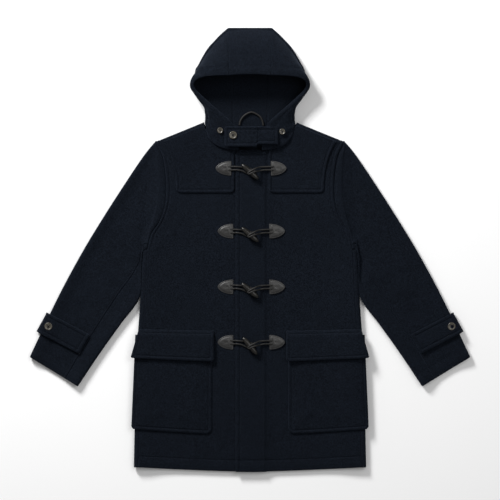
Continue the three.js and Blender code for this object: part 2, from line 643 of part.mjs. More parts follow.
TOGGLE_ROWS.forEach((row, i) => {
  const number = i + 1;
  const first = i === 0 ? 5 : 0;
  const tops = {};
  for (const [side, sign, edge] of [
    ["right", -1, -41.5 - first],
    ["left", 1, 48 + first * 0.8],
  ]) {
    const geometry = new THREE.ExtrudeGeometry(patchShape(sign), patchOptions);
    const wide = sign * LEATHER_PATCH.wide;
    const places = [0, 0.3, 0.6, 0.9].flatMap((u) => [-18, -9, 0, 9, 18].map((y) => [edge + wide * u, row + y]));
    const z = supportUnder(places) + LAY;
    const mesh = new THREE.Mesh(geometry, LEATHER);
    mesh.name = "toggle_patch_" + side + "_" + number;
    mesh.position.set(edge, row, z);
    coat.add(mesh);
    tops[side] = { edge: edge - sign * 0.6, z: z + LEATHER_PATCH.thick + 0.3 + CORD_RADIUS };
  }
  const onBand = supportUnder(ring(0, row, 30)) + LAY + CORD_RADIUS;
  const toggleY = row - 9;
  const toggleZ = onBand + CORD_RADIUS + 0.4 + TOGGLE.radius;
  const overToggle = toggleZ + TOGGLE.radius + 0.4 + CORD_RADIUS;
  const rightStations = [
    { x: tops.right.edge, z: tops.right.z },
    { x: BAND.left + 1.5, z: onBand + 0.6 },
    { x: BAND.left + 10, z: onBand },
    { x: -12, z: onBand },
    { x: 6, z: onBand, spread: 4.6 },
    { x: 12, z: onBand },
  ];
  cord("toggle_cord_right_" + number, row, rightStations, toggleY);
  const profile = [
    [0, -TOGGLE.half],
    [3, -TOGGLE.half + 1],
    [5.2, -TOGGLE.half * 0.6],
    [TOGGLE.radius, -TOGGLE.half * 0.3],
    [TOGGLE.waist, 0],
    [TOGGLE.radius, TOGGLE.half * 0.3],
    [5.2, TOGGLE.half * 0.6],
    [3, TOGGLE.half - 1],
    [0, TOGGLE.half],
  ].map(([r, z]) => new THREE.Vector2(r, z));
  const toggle = new THREE.Mesh(new THREE.LatheGeometry(profile, 10).rotateZ(Math.PI / 2), HORN);
  toggle.name = "toggle_" + number;
  toggle.position.set(0, toggleY, toggleZ);
  toggle.rotation.z = (TOGGLE_ANGLES[i] * Math.PI) / 180;
  coat.add(toggle);
  const leftStations = [
    { x: tops.left.edge, z: tops.left.z },
    { x: BAND.right - 2, z: onBand + 1 },
    { x: 29, z: onBand + 1.5 },
    { x: 20, z: lerp(onBand, overToggle, 0.62) },
    { x: 12, z: overToggle + 0.3 },
    { x: 2, z: overToggle + 0.2, spread: 3.8 },
    { x: -4, z: overToggle - 0.2 },
  ];
  cord("toggle_cord_left_" + number, row, leftStations, toggleY);
});

// The loop that the coat hangs by, sewn to the crown at the back of the neck.
const hangerZ = CLOTH + LAY + CORD_RADIUS;
const hangerPath = new THREE.CatmullRomCurve3([
  point(-25, 326, hangerZ),
  point(-16, 340, hangerZ),
  point(4, 352, hangerZ),
  point(24, 340, hangerZ),
  point(33, 325, hangerZ),
]);
add("hanger_loop", braid(hangerPath, 14), CORD);

// The origin is at the middle of the bounding box.
coat.position.y = -new THREE.Box3().setFromObject(coat).getCenter(new THREE.Vector3()).y;

export default coat;
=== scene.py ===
"""A men's hooded duffle coat in navy melton, laid flat on its back on a pale floor and fastened.

Lengths are millimetres until a mesh is made. Each cloth piece is a closed shell of its own, on the form
of its solid in the frame, with rolled edges, pressed stitch grooves, thread stitches and a few soft
creases. The back has two shells, which overlap by 21 mm under the armpit line.
"""

import math

import bpy
import numpy as np
from mathutils.bvhtree import BVHTree
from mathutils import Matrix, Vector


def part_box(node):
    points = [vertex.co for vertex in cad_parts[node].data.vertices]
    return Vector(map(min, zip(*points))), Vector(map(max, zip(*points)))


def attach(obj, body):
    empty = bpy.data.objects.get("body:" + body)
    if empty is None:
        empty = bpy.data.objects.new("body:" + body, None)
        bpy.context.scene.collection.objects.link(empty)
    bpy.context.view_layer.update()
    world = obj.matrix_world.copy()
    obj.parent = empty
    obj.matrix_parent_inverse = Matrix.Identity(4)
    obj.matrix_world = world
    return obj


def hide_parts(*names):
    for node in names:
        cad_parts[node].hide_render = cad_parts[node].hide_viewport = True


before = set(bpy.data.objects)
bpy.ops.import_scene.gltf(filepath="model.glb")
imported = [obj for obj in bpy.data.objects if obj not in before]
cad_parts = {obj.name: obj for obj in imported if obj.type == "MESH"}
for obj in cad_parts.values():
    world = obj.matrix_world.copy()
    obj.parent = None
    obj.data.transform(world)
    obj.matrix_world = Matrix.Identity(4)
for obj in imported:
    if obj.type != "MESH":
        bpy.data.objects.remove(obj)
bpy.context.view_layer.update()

# ---- Driving dimensions, as in the frame ---------------------------------------------------------
MM = 0.001
CLOTH, SEAM, LAY = 2.4, 0.8, 0.5
SIDE_FOLD, SIDE_SEAM_IN, MIDDLE_TOP, FOLD_REACH = 8.0, 12.5, 8.4, 58.0
HEM_SIDE_Y, HEM_MIDDLE_DROP = -553.0, 11.0
NECK_X, NECK_Y, NECK_DEPTH = 115.0, 320.0, 66.0
SHOULDER_X, SHOULDER_Y = 238.0, 270.0
ARMPIT_Y, BACK_FOLD_TOP, BACK_NECK_Y = 8.0, -22.0, 305.0
BACK_NECK_RISE = 5.2  # the back runs this far past its solid at the neck, so that no slit shows
BAND_LEFT, BAND_RIGHT, BAND_TOP = -36.0, 42.0, 249.0
UNDERLAP = 20.0
TOGGLE_ROWS = (208.0, 48.0, -94.0, -235.0)
TOGGLE_ANGLES = (-42.0, -40.5, -41.0, -50.0)
SLEEVE_FOLD, SLEEVE_TOP, BACK_SLEEVE_SEAM = 7.0, 8.2, 0.62
# the front seam's place across the sleeve: it leaves the armhole at the armpit and runs in over the sleeve
SLEEVE_SEAM = (0.975, 0.94, 0.84, 0.755, 0.76, 0.77, 0.77, 0.77)
SLEEVE_SEAM_GAP = 0.004  # the gap beside that seam, as a share of the sleeve's width
HEM_STITCH = 28.0  # the hem's stitch line above its edge
EDGE_STITCH = 8.0  # the topstitching's distance from an edge
CUFF_STITCH = 30.0  # the cuff's stitch line from its edge
RIM_STITCH = 22.0  # the stitch line of the hood's turned rim
BAND_STITCH, BAND_FAR_STITCH_X = 10.5, 38.5
STITCH_SUNK = 0.9  # how far thread sits below the cloth beside its groove

BODY_HALF = ((-553, 296), (-400, 293), (-250, 288), (-133, 280), (8, 273))
ARMHOLE = ((260.5, 8), (251, 42), (229, 74), (216, 110), (213, 160), (221, 228), (238, 270))
# outer fold x and y, inner fold x and y
SLEEVE_ROWS = (
    (240, 276, 262, 3),
    (257, 258, 274.5, -10),
    (280, 227, 277, -52),
    (318, 170, 281.5, -122),
    (372, 86, 327, -186),
    (430, -10, 366, -240),
    (492, -126, 403, -294),
    (561, -272, 438, -347),
)
# rim x, y, z; a point passed on the way to the fold, x, y, z; the fold's x, y and radius; the back seam's y
HOOD_ROWS = (
    (53, 443, 63, 55, 512, 47, 56, 566, 8, 556),
    (88, 442, 62, 84, 494, 47, 84, 540, 9, 530),
    (122, 438, 57, 118, 469, 46, 116, 500, 11, 502),
    (141, 427, 46, 144, 440, 42, 142, 448, 14, 470),
    (139, 409, 36, 149, 412, 35, 150, 414, 13, 440),
    (112, 382, 32, 129, 386, 33, 134, 386, 12, 402),
    (78, 352, 32, 106, 360, 33, 117, 364, 12, 372),
    (48, 324, 29, 94, 333, 30, 114, 348, 11, 350),
    (34, 291, 24, 88, 302, 25, 114, 336, 10, 330),
    (30, 255, 20, 90, 270, 21, 115, 322, 10, 311),
)
CROWN_BACK_HALF, CROWN_NARROW_FROM = 44.0, 450.0
YOKE = dict(bottom=146, outer_bottom=188, outer_top=219, inner=48, corner=14)
POCKET = dict(inner=98, outer_top=292, outer_bottom=302, top=-222, bottom=-468, slant=13, corner=15)
FLAP = dict(inner=93, outer_top=283, outer_bottom=303, top=-206, bottom=-283, slant=9, corner=6)
CUFF_TAB = dict(fold=(517, -160), seam=(410, -216), step=(26, -47), length=121.0, width=53.7)
PATCH_LENGTH, PATCH_HALF = 41.0, 18.6
TOGGLE_HALF, TOGGLE_DROP = 28.8, 9
CORD_RADIUS, WRAP_RADIUS, WAIST_RADIUS = 2.0, 1.8, 7.2
TAB = dict(left=-64, right=71, top=314, bottom=263, step_at=18, step_up=6)

# The frame is centred on its box: this is how far it lies from the sizes above.
toggle_low, toggle_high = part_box("toggle_2")
SHIFT = (toggle_low[1] + toggle_high[1]) / 2 / MM - (TOGGLE_ROWS[1] - TOGGLE_DROP)

# Soft creases, each a ridge or a hollow along a line: x0, y0, x1, y1, half width, height.
BODY_CREASES = (
    (-262, -8, -196, 48, 13, 1.6),
    (-258, -30, -150, 8, 17, -1.2),
    (262, -14, 188, 58, 14, 1.8),
    (255, -44, 158, -6, 19, -1.4),
    (-236, -150, -120, -118, 26, 1.3),
    (228, -168, 130, -120, 30, 1.2),
    (-92, 120, -70, 20, 24, 1.2),
    (118, 118, 92, -30, 28, 1.3),
    (-168, -60, -150, -190, 30, 1.2),
    (178, -30, 196, -180, 26, -1.1),
    (-72, -330, -80, -520, 26, 1.6),
    (76, -300, 66, -500, 24, 1.4),
    (-210, -490, -190, -552, 30, 1.5),
    (214, -486, 232, -552, 28, 1.4),
)
SLEEVE_CREASES = (
    (250, 80, 284, 10, 10, -3.2),
    (-250, 80, -284, 10, 11, -3.4),
    (262, 20, 330, 62, 12, 2.2),
    (276, -30, 352, 16, 15, -1.6),
    (300, -76, 392, -36, 14, 1.9),
    (-264, 14, -322, 76, 13, 2.0),
    (-280, -40, -350, 2, 14, -1.7),
    (-306, -92, -398, -30, 16, 1.8),
    (372, -110, 446, -74, 15, 1.7),
    (-366, -120, -440, -70, 17, 1.8),
    (-420, -150, -488, -150, 15, -1.5),
    (410, -170, 490, -140, 17, -1.4),
    (250, 200, 300, 150, 20, 1.6),
    (-246, 214, -292, 168, 18, 1.5),
    (452, -236, 520, -200, 14, 1.2),
    (-456, -250, -510, -204, 15, 1.1),
)
HOOD_CREASES = (
    (-138, 460, -60, 470, 6, 2.0),
    (-134, 448, -84, 452, 5, -1.6),
    (140, 462, 92, 474, 8, 1.6),
    (88, 300, 132, 330, 7, 2.6),
    (84, 284, 118, 306, 6, -2.0),
    (104, 352, 138, 378, 8, 1.8),
    (-92, 300, -124, 334, 8, 2.2),
    (-110, 350, -140, 384, 9, 1.8),
    (-30, 520, 26, 530, 14, 1.4),
    (96, 520, 120, 480, 9, 1.5),
    (-100, 516, -118, 470, 10, 1.4),
)


# ---- Small mathematics ---------------------------------------------------------------------------
def lerp(a, b, t):
    return a + (b - a) * t


def smooth(a, b, t):
    s = np.clip((t - a) / (b - a), 0, 1)
    return s * s * (3 - 2 * s)


def table(rows, t):
    """The columns of rows, by a smooth curve at t from 0 to 1: an array with the columns last."""
    rows = np.asarray(rows, float)
    at = np.clip(t, 0, 1) * (len(rows) - 1)
    i = np.minimum(len(rows) - 2, np.floor(at)).astype(int)
    f = (at - i)[..., None]
    p0, p1, p2, p3 = (rows[np.clip(i + k, 0, len(rows) - 1)] for k in (-1, 0, 1, 2))
    square, cube = 2 * p0 - 5 * p1 + 4 * p2 - p3, 3 * p1 - p0 - 3 * p2 + p3
    return 0.5 * (2 * p1 + (p2 - p0) * f + square * f * f + cube * f * f * f)


def creases(x, y, lines):
    """Height at x, y of soft ridges and hollows along lines."""
    total = np.zeros(np.broadcast(x, y).shape)
    for x0, y0, x1, y1, half, height in lines:
        dx, dy = x1 - x0, y1 - y0
        along = ((x - x0) * dx + (y - y0) * dy) / (dx * dx + dy * dy)
        beyond = np.maximum(0, np.abs(along - 0.5) - 0.5) * math.hypot(dx, dy)
        across = ((x - x0) * dy - (y - y0) * dx) / math.hypot(dx, dy)
        profile = np.exp(-((across / half) ** 2) - (beyond / (1.4 * half)) ** 2)
        total += height * profile * (0.6 + 0.4 * np.cos(along * 3))
    return total


def groove(distance, at=EDGE_STITCH, depth=1.15, half=1.25):
    """A stitch line pressed into thick cloth at a distance from an edge, with puffed cloth beside it."""
    line = -depth * np.exp(-(((distance - at) / half) ** 2))
    puff = 1.15 * np.exp(-(((distance - at * 0.42) / (at * 0.34)) ** 2))
    beyond = 0.3 * np.exp(-(((distance - at * 1.5) / (at * 0.3)) ** 2))
    return line + puff + beyond


def stations(length, step, marks=()):
    """Distances from 0 to length in even steps, with more beside the edges and beside each mark."""
    even = np.linspace(0, length, int(length / step) + 2)
    beside = [m + d for m in marks for d in (-2.4, -1.2, 0, 1.2, 2.4)]
    edges = [0, 0.4, 1.2, 2.6, 4.4, length - 4.4, length - 2.6, length - 1.2, length - 0.4, length]
    every = sorted(v for v in [*even, *beside, *edges] if 0 <= v <= length)
    kept = [every[0]]
    for v in every[1:]:
        if v - kept[-1] > 0.35:
            kept.append(v)
    kept[-1] = length
    return np.array(kept)


def shares(length, step, *marks):
    """Stations as shares of a length, with more beside both edges' stitch lines and beside marks."""
    return stations(length, step, (EDGE_STITCH, length - EDGE_STITCH, *marks)) / length


def xyz(x, y, z):
    return np.stack(np.broadcast_arrays(x, y, z), -1)


def unit(vectors):
    return vectors / (np.linalg.norm(vectors, axis=-1, keepdims=True) + 1e-12)


def normals_of(grid):
    return unit(np.cross(np.gradient(grid, axis=1), np.gradient(grid, axis=0)))


def run_along(path):
    """The distance of each point from the path's start, along the path."""
    return np.concatenate([[0], np.cumsum(np.linalg.norm(np.diff(path, axis=0), axis=1))])


def side_and_up(tangent):
    """Two directions square to a path's: one level, one upward."""
    side = unit(np.cross(tangent, (0, 0, 1.0)))
    return side, np.cross(side, tangent)


def facing_up(grid, sign):
    """The grid, turned round if it was mirrored to the wearer's right."""
    return grid if sign > 0 else grid[:, ::-1]


# ---- Meshes --------------------------------------------------------------------------------------
surfaces = {}  # name of a piece: a tree that finds the height of its top
sheets = {}  # name of a cloth piece: the piece, its flat size, what it rests on and its flat area
stitch_lines = {}  # name of a piece: its stitch lines, each an array of points on its surface


def box_of(node):
    """The low and the high corner of a node's box in the frame, in millimetres."""
    return (np.array(corner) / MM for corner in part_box(node))


def make(name, vertices, faces, material, slot, stands_for=()):
    vertices = np.array(vertices, float)
    surfaces[name] = BVHTree.FromPolygons(vertices.tolist(), faces)
    vertices[:, 1] += SHIFT
    mesh = bpy.data.meshes.new(name)
    mesh.from_pydata((vertices * MM).tolist(), [], faces)
    mesh.shade_smooth()
    mesh.materials.append(material)
    piece = bpy.data.objects.new(name, mesh)
    bpy.context.scene.collection.objects.link(piece)
    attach(piece, "root")
    if stands_for:
        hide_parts(*stands_for)
    return piece


def top_at(names, x, y, reach=0.0):
    """The highest point of these pieces at x, y, or within reach of it."""
    around = [(0, 0)] + [(reach * math.cos(a), reach * math.sin(a)) for a in np.arange(8) * math.pi / 4]
    heights = [0.0]
    for dx, dy in around if reach else around[:1]:
        for name in names:
            hit = surfaces[name].ray_cast((x + dx, y + dy, 300), (0, 0, -1))[0]
            if hit:
                heights.append(hit.z)
    return max(heights)


def shell(grid, thickness=CLOTH):
    """A closed sheet of cloth from its outer face, with rolled edges: (vertices, faces)."""
    rows, columns = grid.shape[:2]
    normal = normals_of(grid)
    outer, inner = grid.copy(), grid - normal * thickness
    ids = np.arange(rows * columns).reshape(rows, columns)
    loop = np.concatenate([ids[0, :-1], ids[:-1, -1], ids[-1, :0:-1], ids[:0:-1, 0]])
    points, normals = grid.reshape(-1, 3)[loop], normal.reshape(-1, 3)[loop]
    tangent = np.roll(points, -1, 0) - np.roll(points, 1, 0)
    outward = unit(np.cross(tangent, normals))
    middle = points - normals * thickness / 2 + outward * thickness * 0.32
    flat_outer, flat_inner = outer.reshape(-1, 3), inner.reshape(-1, 3)
    flat_outer[loop] -= normals * thickness * 0.24
    flat_inner[loop] += normals * thickness * 0.24
    n = rows * columns
    quads = np.stack([ids[:-1, :-1], ids[:-1, 1:], ids[1:, 1:], ids[1:, :-1]], -1).reshape(-1, 4)
    rim = 2 * n + np.arange(len(loop))
    rim_next, loop_next = np.roll(rim, -1), np.roll(loop, -1)
    faces = np.concatenate(
        [
            quads,
            quads[:, ::-1] + n,
            np.stack([loop_next, loop, rim, rim_next], 1),
            np.stack([rim_next, rim, loop + n, loop_next + n], 1),
        ]
    )
    return np.concatenate([flat_outer, flat_inner, middle]), faces.tolist()


def spans(grid):
    """A grid's width along its rows, its length along its columns and its area, in metres."""
    across, down = np.diff(grid, axis=1), np.diff(grid, axis=0)
    width = np.linalg.norm(across, axis=2).sum(1).max() * MM
    length = np.linalg.norm(down, axis=2).sum(0).max() * MM
    area = np.linalg.norm(np.cross(across[:-1], down[:, :-1]), axis=2).sum() * MM * MM
    return width, length, area


def cloth(node, grids, rests_on, thickness=CLOTH):
    """A piece of melton from the grids of its outer face, which stands for a node of the frame."""
    piece = make(node + "_cloth", *merged([shell(g, thickness) for g in grids]), MELTON, "melton", [node])
    sizes = [spans(g) for g in grids]
    width, length = max(w for w, _, _ in sizes), sum(h for _, h, _ in sizes)
    sheets[piece.name] = (piece, (width, length), rests_on, sum(a for _, _, a in sizes))
    return piece


def ring_faces(rings, around):
    """The quads between closed rings of points, with this many points around each."""
    faces = []
    for k in range(rings - 1):
        for s in range(around):
            a, b = k * around + s, k * around + (s + 1) % around
            faces.append((a, b, b + around, a + around))
    return faces


def tube(path, radius, sides=10, twist=0.0, lobes=0, relief=0.0):
    """A cord along a path. With lobes, its section turns as twisted or braided strands do."""
    path = np.asarray(path, float)
    side, up = side_and_up(unit(np.gradient(path, axis=0)))
    run = run_along(path)
    angle = np.arange(sides) * 2 * math.pi / sides
    vertices = []
    for k, centre in enumerate(path):
        bulge = 1 + relief * np.abs(np.sin(lobes * angle / 2 + run[k] * twist)) if lobes else 1.0
        r = radius * bulge
        ring = centre + (np.cos(angle) * r)[:, None] * side[k] + (np.sin(angle) * r)[:, None] * up[k]
        vertices.extend(ring)
    faces = [(a, d, c, b) for a, b, c, d in ring_faces(len(path), sides)]
    faces.append(tuple(range(sides)))
    faces.append(tuple(reversed(range((len(path) - 1) * sides, len(path) * sides))))
    return np.array(vertices), faces


def lathe(profile, turns=28):
    """A turned solid about Z from (radius, height) points that start and end on the axis."""
    profile = np.asarray(profile, float)
    inner = profile[1:-1]
    angle = np.arange(turns) * 2 * math.pi / turns
    rings = [np.stack([r * np.cos(angle), r * np.sin(angle), np.full(turns, z)], 1) for r, z in inner]
    vertices = np.concatenate([*rings, [[0, 0, profile[0][1]], [0, 0, profile[-1][1]]]])
    low, high = len(vertices) - 2, len(vertices) - 1
    faces = ring_faces(len(inner), turns)
    last = (len(inner) - 1) * turns
    for s in range(turns):
        faces.append((low, (s + 1) % turns, s))
        faces.append((high, last + s, last + (s + 1) % turns))
    return vertices, faces


def merged(parts):
    """Several (vertices, faces) as one."""
    vertices, faces, base = [], [], 0
    for v, f in parts:
        vertices.append(v)
        faces.extend(tuple(i + base for i in face) for face in f)
        base += len(v)
    return np.concatenate(vertices), faces


def curve_through(points, count):
    return table(points, np.linspace(0, 1, count))


# ---- Materials -----------------------------------------------------------------------------------
class Nodes:
    """A material's node tree, with short calls for the nodes used here."""

    def __init__(self, name):
        self.material = bpy.data.materials.new(name)
        self.material.use_nodes = True
        self.tree = self.material.node_tree
        self.shader = self.tree.nodes["Principled BSDF"]
        self.place = self.add("ShaderNodeTexCoord").outputs["Object"]

    def add(self, kind, **values):
        node = self.tree.nodes.new(kind)
        for key, value in values.items():
            setattr(node, key, value)
        return node

    def link(self, a, b):
        self.tree.links.new(a, b)

    def noise(self, scale, detail=3.0, roughness=0.6, distortion=0.0, stretch=None):
        node = self.add("ShaderNodeTexNoise")
        node.inputs["Scale"].default_value = scale
        node.inputs["Detail"].default_value = detail
        node.inputs["Roughness"].default_value = roughness
        node.inputs["Distortion"].default_value = distortion
        place = self.place
        if stretch:
            mapping = self.add("ShaderNodeMapping")
            mapping.inputs["Scale"].default_value = stretch
            self.link(place, mapping.inputs["Vector"])
            place = mapping.outputs["Vector"]
        self.link(place, node.inputs["Vector"])
        return node.outputs["Fac"]

    def ramp(self, value, stops):
        node = self.add("ShaderNodeValToRGB")
        ramp = node.color_ramp
        while len(ramp.elements) < len(stops):
            ramp.elements.new(0.5)
        for element, (at, colour) in zip(ramp.elements, stops):
            element.position = at
            element.color = (*colour, 1) if hasattr(colour, "__len__") else (colour, colour, colour, 1)
        self.link(value, node.inputs["Fac"])
        return node.outputs["Color"]

    def multiply(self, a, b):
        node = self.add("ShaderNodeMix", data_type="RGBA", blend_type="MULTIPLY")
        node.inputs["Factor"].default_value = 1.0
        self.link(a, node.inputs["A"])
        self.link(b, node.inputs["B"])
        return node.outputs["Result"]

    def bump(self, height, strength, distance, onto=None):
        node = self.add("ShaderNodeBump")
        node.inputs["Strength"].default_value = strength
        node.inputs["Distance"].default_value = distance
        self.link(height, node.inputs["Height"])
        if onto:
            self.link(onto, node.inputs["Normal"])
        return node.outputs["Normal"]

    def set(self, **values):
        for key, value in values.items():
            self.shader.inputs[key.replace("_", " ")].default_value = value

    def finish(self, colour, normal, rough=None, **values):
        """Connects colour, normal and roughness, sets the shader's numbers and gives the material."""
        self.link(colour, self.shader.inputs["Base Color"])
        self.link(normal, self.shader.inputs["Normal"])
        if rough:
            self.link(rough, self.shader.inputs["Roughness"])
        self.set(**values)
        return self.material


def melton_material():
    """Felted wool: short matted fibres with lighter flecks, a soft nap and slow uneven dyeing."""
    n = Nodes("melton")
    dark, light = (0.0014, 0.0022, 0.0040), (0.0062, 0.0088, 0.0140)
    fleck = n.ramp(n.noise(430, 3, 0.7), [(0.41, dark), (0.59, light)])
    nap = n.ramp(n.noise(60, 3, 0.55), [(0.3, 0.9), (0.7, 1.08)])
    slow = n.ramp(n.noise(5.5, 2, 0.5), [(0.3, 0.94), (0.7, 1.05)])
    colour = n.multiply(n.multiply(fleck, nap), slow)
    rough = n.ramp(n.noise(260, 2), [(0.3, 0.86), (0.7, 1.0)])
    fibres = n.bump(n.noise(1500, 3, 0.7, 0.6), 0.45, 0.0004)
    matted = n.bump(n.noise(330, 4, 0.65, 0.4), 0.5, 0.0011, fibres)
    normal = n.bump(n.noise(38, 2), 0.35, 0.0022, matted)
    sheen = dict(Sheen_Weight=0.07, Sheen_Roughness=0.5, Sheen_Tint=(0.34, 0.45, 0.68, 1))
    return n.finish(colour, normal, rough, Specular_IOR_Level=0.06, **sheen)


def leather_material():
    """Grained leather with a worn satin sheen and darker pores."""
    n = Nodes("patch_leather")
    grain = n.noise(700, 4, 0.7, 0.8)
    grained = n.ramp(grain, [(0.35, (0.009, 0.0088, 0.0085)), (0.65, (0.022, 0.0215, 0.021))])
    worn = n.ramp(n.noise(60, 3), [(0.3, 0.8), (0.75, 1.3)])
    rough = n.ramp(n.noise(120, 3), [(0.3, 0.34), (0.7, 0.52)])
    pores = n.bump(grain, 0.35, 0.0004)
    normal = n.bump(n.noise(90, 2), 0.3, 0.0012, pores)
    return n.finish(n.multiply(grained, worn), normal, rough, Specular_IOR_Level=0.55)


def horn_material():
    """Polished horn: long dark streaks along the toggle with a paler core."""
    n = Nodes("toggle_horn")
    streaks = n.noise(210, 5, 0.65, 1.2, stretch=(0.35, 1.0, 1.0))
    dark, middle, pale = (0.003, 0.0027, 0.0024), (0.008, 0.0072, 0.006), (0.03, 0.027, 0.022)
    colour = n.ramp(streaks, [(0.3, dark), (0.55, middle), (0.8, pale)])
    rough = n.ramp(n.noise(300, 3), [(0.3, 0.26), (0.7, 0.42)])
    return n.finish(colour, n.bump(streaks, 0.25, 0.0005), rough, Specular_IOR_Level=0.4)


def cord_material():
    """Waxed cord in mottled near-black. Its strands are in the mesh."""
    n = Nodes("cord")
    dark, light = (0.006, 0.0058, 0.0056), (0.020, 0.0195, 0.019)
    colour = n.ramp(n.noise(900, 3, 0.6), [(0.35, dark), (0.65, light)])
    rough = n.ramp(n.noise(400, 2), [(0.3, 0.45), (0.7, 0.65)])
    return n.finish(colour, n.bump(n.noise(1200, 2), 0.4, 0.0004), rough, Specular_IOR_Level=0.25)


def button_material():
    """Mottled horn button with a satin polish."""
    n = Nodes("button")
    dark, middle, pale = (0.016, 0.014, 0.010), (0.055, 0.049, 0.036), (0.14, 0.125, 0.095)
    colour = n.ramp(n.noise(240, 4, 0.6, 1.5), [(0.3, dark), (0.55, middle), (0.8, pale)])
    rough = n.ramp(n.noise(350, 3), [(0.3, 0.24), (0.7, 0.4)])
    return n.finish(colour, n.bump(n.noise(500, 3), 0.15, 0.0003), rough, Specular_IOR_Level=0.6)


def thread_material():
    """Navy sewing thread with a faint twist."""
    n = Nodes("thread")
    dark, light = (0.002, 0.003, 0.006), (0.005, 0.007, 0.012)
    colour = n.ramp(n.noise(2500, 2), [(0.35, dark), (0.65, light)])
    normal = n.bump(n.noise(3000, 2), 0.3, 0.0002)
    return n.finish(colour, normal, Roughness=0.8, Specular_IOR_Level=0.1)


MELTON, LEATHER, HORN = melton_material(), leather_material(), horn_material()
CORD, BUTTON, THREAD = cord_material(), button_material(), thread_material()


def stitch(name, x, y, height, sunk=STITCH_SUNK):
    """A stitch line on the piece of this name, at given heights or sunk below a height function."""
    x, y = np.broadcast_arrays(np.asarray(x, float), np.asarray(y, float))
    z = height(x, y) - sunk if callable(height) else height
    stitch_lines.setdefault(name, []).append(xyz(x, y, z))


# ---- Body ----------------------------------------------------------------------------------------
def half_width(y):
    ys, halves = zip(*BODY_HALF)
    return np.interp(y, ys, halves)


def hem_y(x):
    return HEM_SIDE_Y - HEM_MIDDLE_DROP * (1 - np.minimum(1, np.abs(x) / 280) ** 1.5)


def top_y(x):
    far = np.abs(x)
    neck = NECK_Y - NECK_DEPTH * np.sqrt(np.maximum(0, 1 - (far / NECK_X) ** 2))
    shoulder = lerp(NECK_Y, SHOULDER_Y, np.clip((far - NECK_X) / (SHOULDER_X - NECK_X), 0, 1))
    return np.where(far < NECK_X, neck, shoulder)


def front_height(x, y):
    inside = np.maximum(0, half_width(np.minimum(y, ARMPIT_Y)) - SIDE_FOLD - np.abs(x))
    side = np.where(y > ARMPIT_Y, np.maximum(inside - 38 * smooth(ARMPIT_Y, 110, y), 0), inside)
    shoulder = np.maximum(0, top_y(np.maximum(np.abs(x), NECK_X)) - y)
    low = (1 - np.exp(-((side / FOLD_REACH) ** 2))) * (1 - np.exp(-((shoulder / FOLD_REACH) ** 2)))
    return MIDDLE_TOP + (2 * SIDE_FOLD - MIDDLE_TOP) * (1 - low)


def body_relief(x, y):
    """Soft creases over the body, gone at its sides and shoulders. What lies on the body shares them."""
    fade = smooth(6, 46, half_width(y) - np.abs(x)) * smooth(4, 40, top_y(np.maximum(np.abs(x), NECK_X)) - y)
    return creases(x, y, BODY_CREASES) * fade


def right_height(x, y):
    return front_height(x, y) + body_relief(x, y)


def left_height(x, y):
    return right_height(x, y) + (CLOTH + LAY) * (1 - smooth(UNDERLAP + 22, UNDERLAP + 42, x))


def side_line():
    """Points down the side of a front panel: the side seam, then the armhole."""
    hem = HEM_SIDE_Y + stations(60, 8, (HEM_STITCH,))
    seam_y = np.unique(np.concatenate([np.linspace(HEM_SIDE_Y, -60, 44), hem]))
    seam = np.stack([half_width(seam_y) - SIDE_SEAM_IN, seam_y], 1)
    link = np.linspace(seam[-1], ARMHOLE[0], 7)[1:-1]
    return np.concatenate([seam, link, table(ARMHOLE, np.linspace(0, 1, 44))])


def front_panel(sign, edge_x, height):
    side = side_line()
    first = stations(30, 6, (EDGE_STITCH,))[:-5]
    parts = ((0, 0.4, 20), (0.4, 0.62, 22), (0.62, 1, 18))
    beyond = np.concatenate([np.linspace(*part)[1:] for part in parts])
    start = sign * (side[:, :1] - SEAM)
    near = start - sign * first
    x = np.concatenate([near, lerp(near[:, -1:], edge_x, beyond)], 1)
    share = (side[:, 1:] - HEM_SIDE_Y) / (SHOULDER_Y - HEM_SIDE_Y)
    y = lerp(hem_y(x), top_y(x), share)
    from_side = np.abs(x - start)
    z = height(x, y) + groove(y - hem_y(x), HEM_STITCH)
    z += np.where(side[:, 1:] > ARMPIT_Y, groove(from_side), 0.25 * groove(from_side, 5))
    rows = [xyz(x, y, z)]
    top = rows[0][-1]
    over = np.abs(top[:, 0]) >= NECK_X
    for turn in (0.1, 0.22, 0.36, 0.5, 0.64, 0.76, 0.86):
        radius = top[:, 2] / 2 - 1.6
        out = np.where(over, radius * math.sin(turn * math.pi), 0)
        drop = np.where(over, radius * (1 - math.cos(turn * math.pi)), 3 * turn)
        rows.append(xyz(top[:, 0], top[:, 1] + out, top[:, 2] - drop)[None])
    return facing_up(np.concatenate(rows), -sign)


def hem_and_armhole_stitches(sign, edge_x, height):
    name = "front_left_cloth" if sign > 0 else "front_right_cloth"
    x = np.linspace(sign * 282, edge_x, 160)
    stitch(name, x, hem_y(x) + HEM_STITCH, height)
    hole = table(ARMHOLE, np.linspace(0.02, 0.97, 90))
    stitch(name, sign * (hole[:, 0] - SEAM - EDGE_STITCH), hole[:, 1], height)


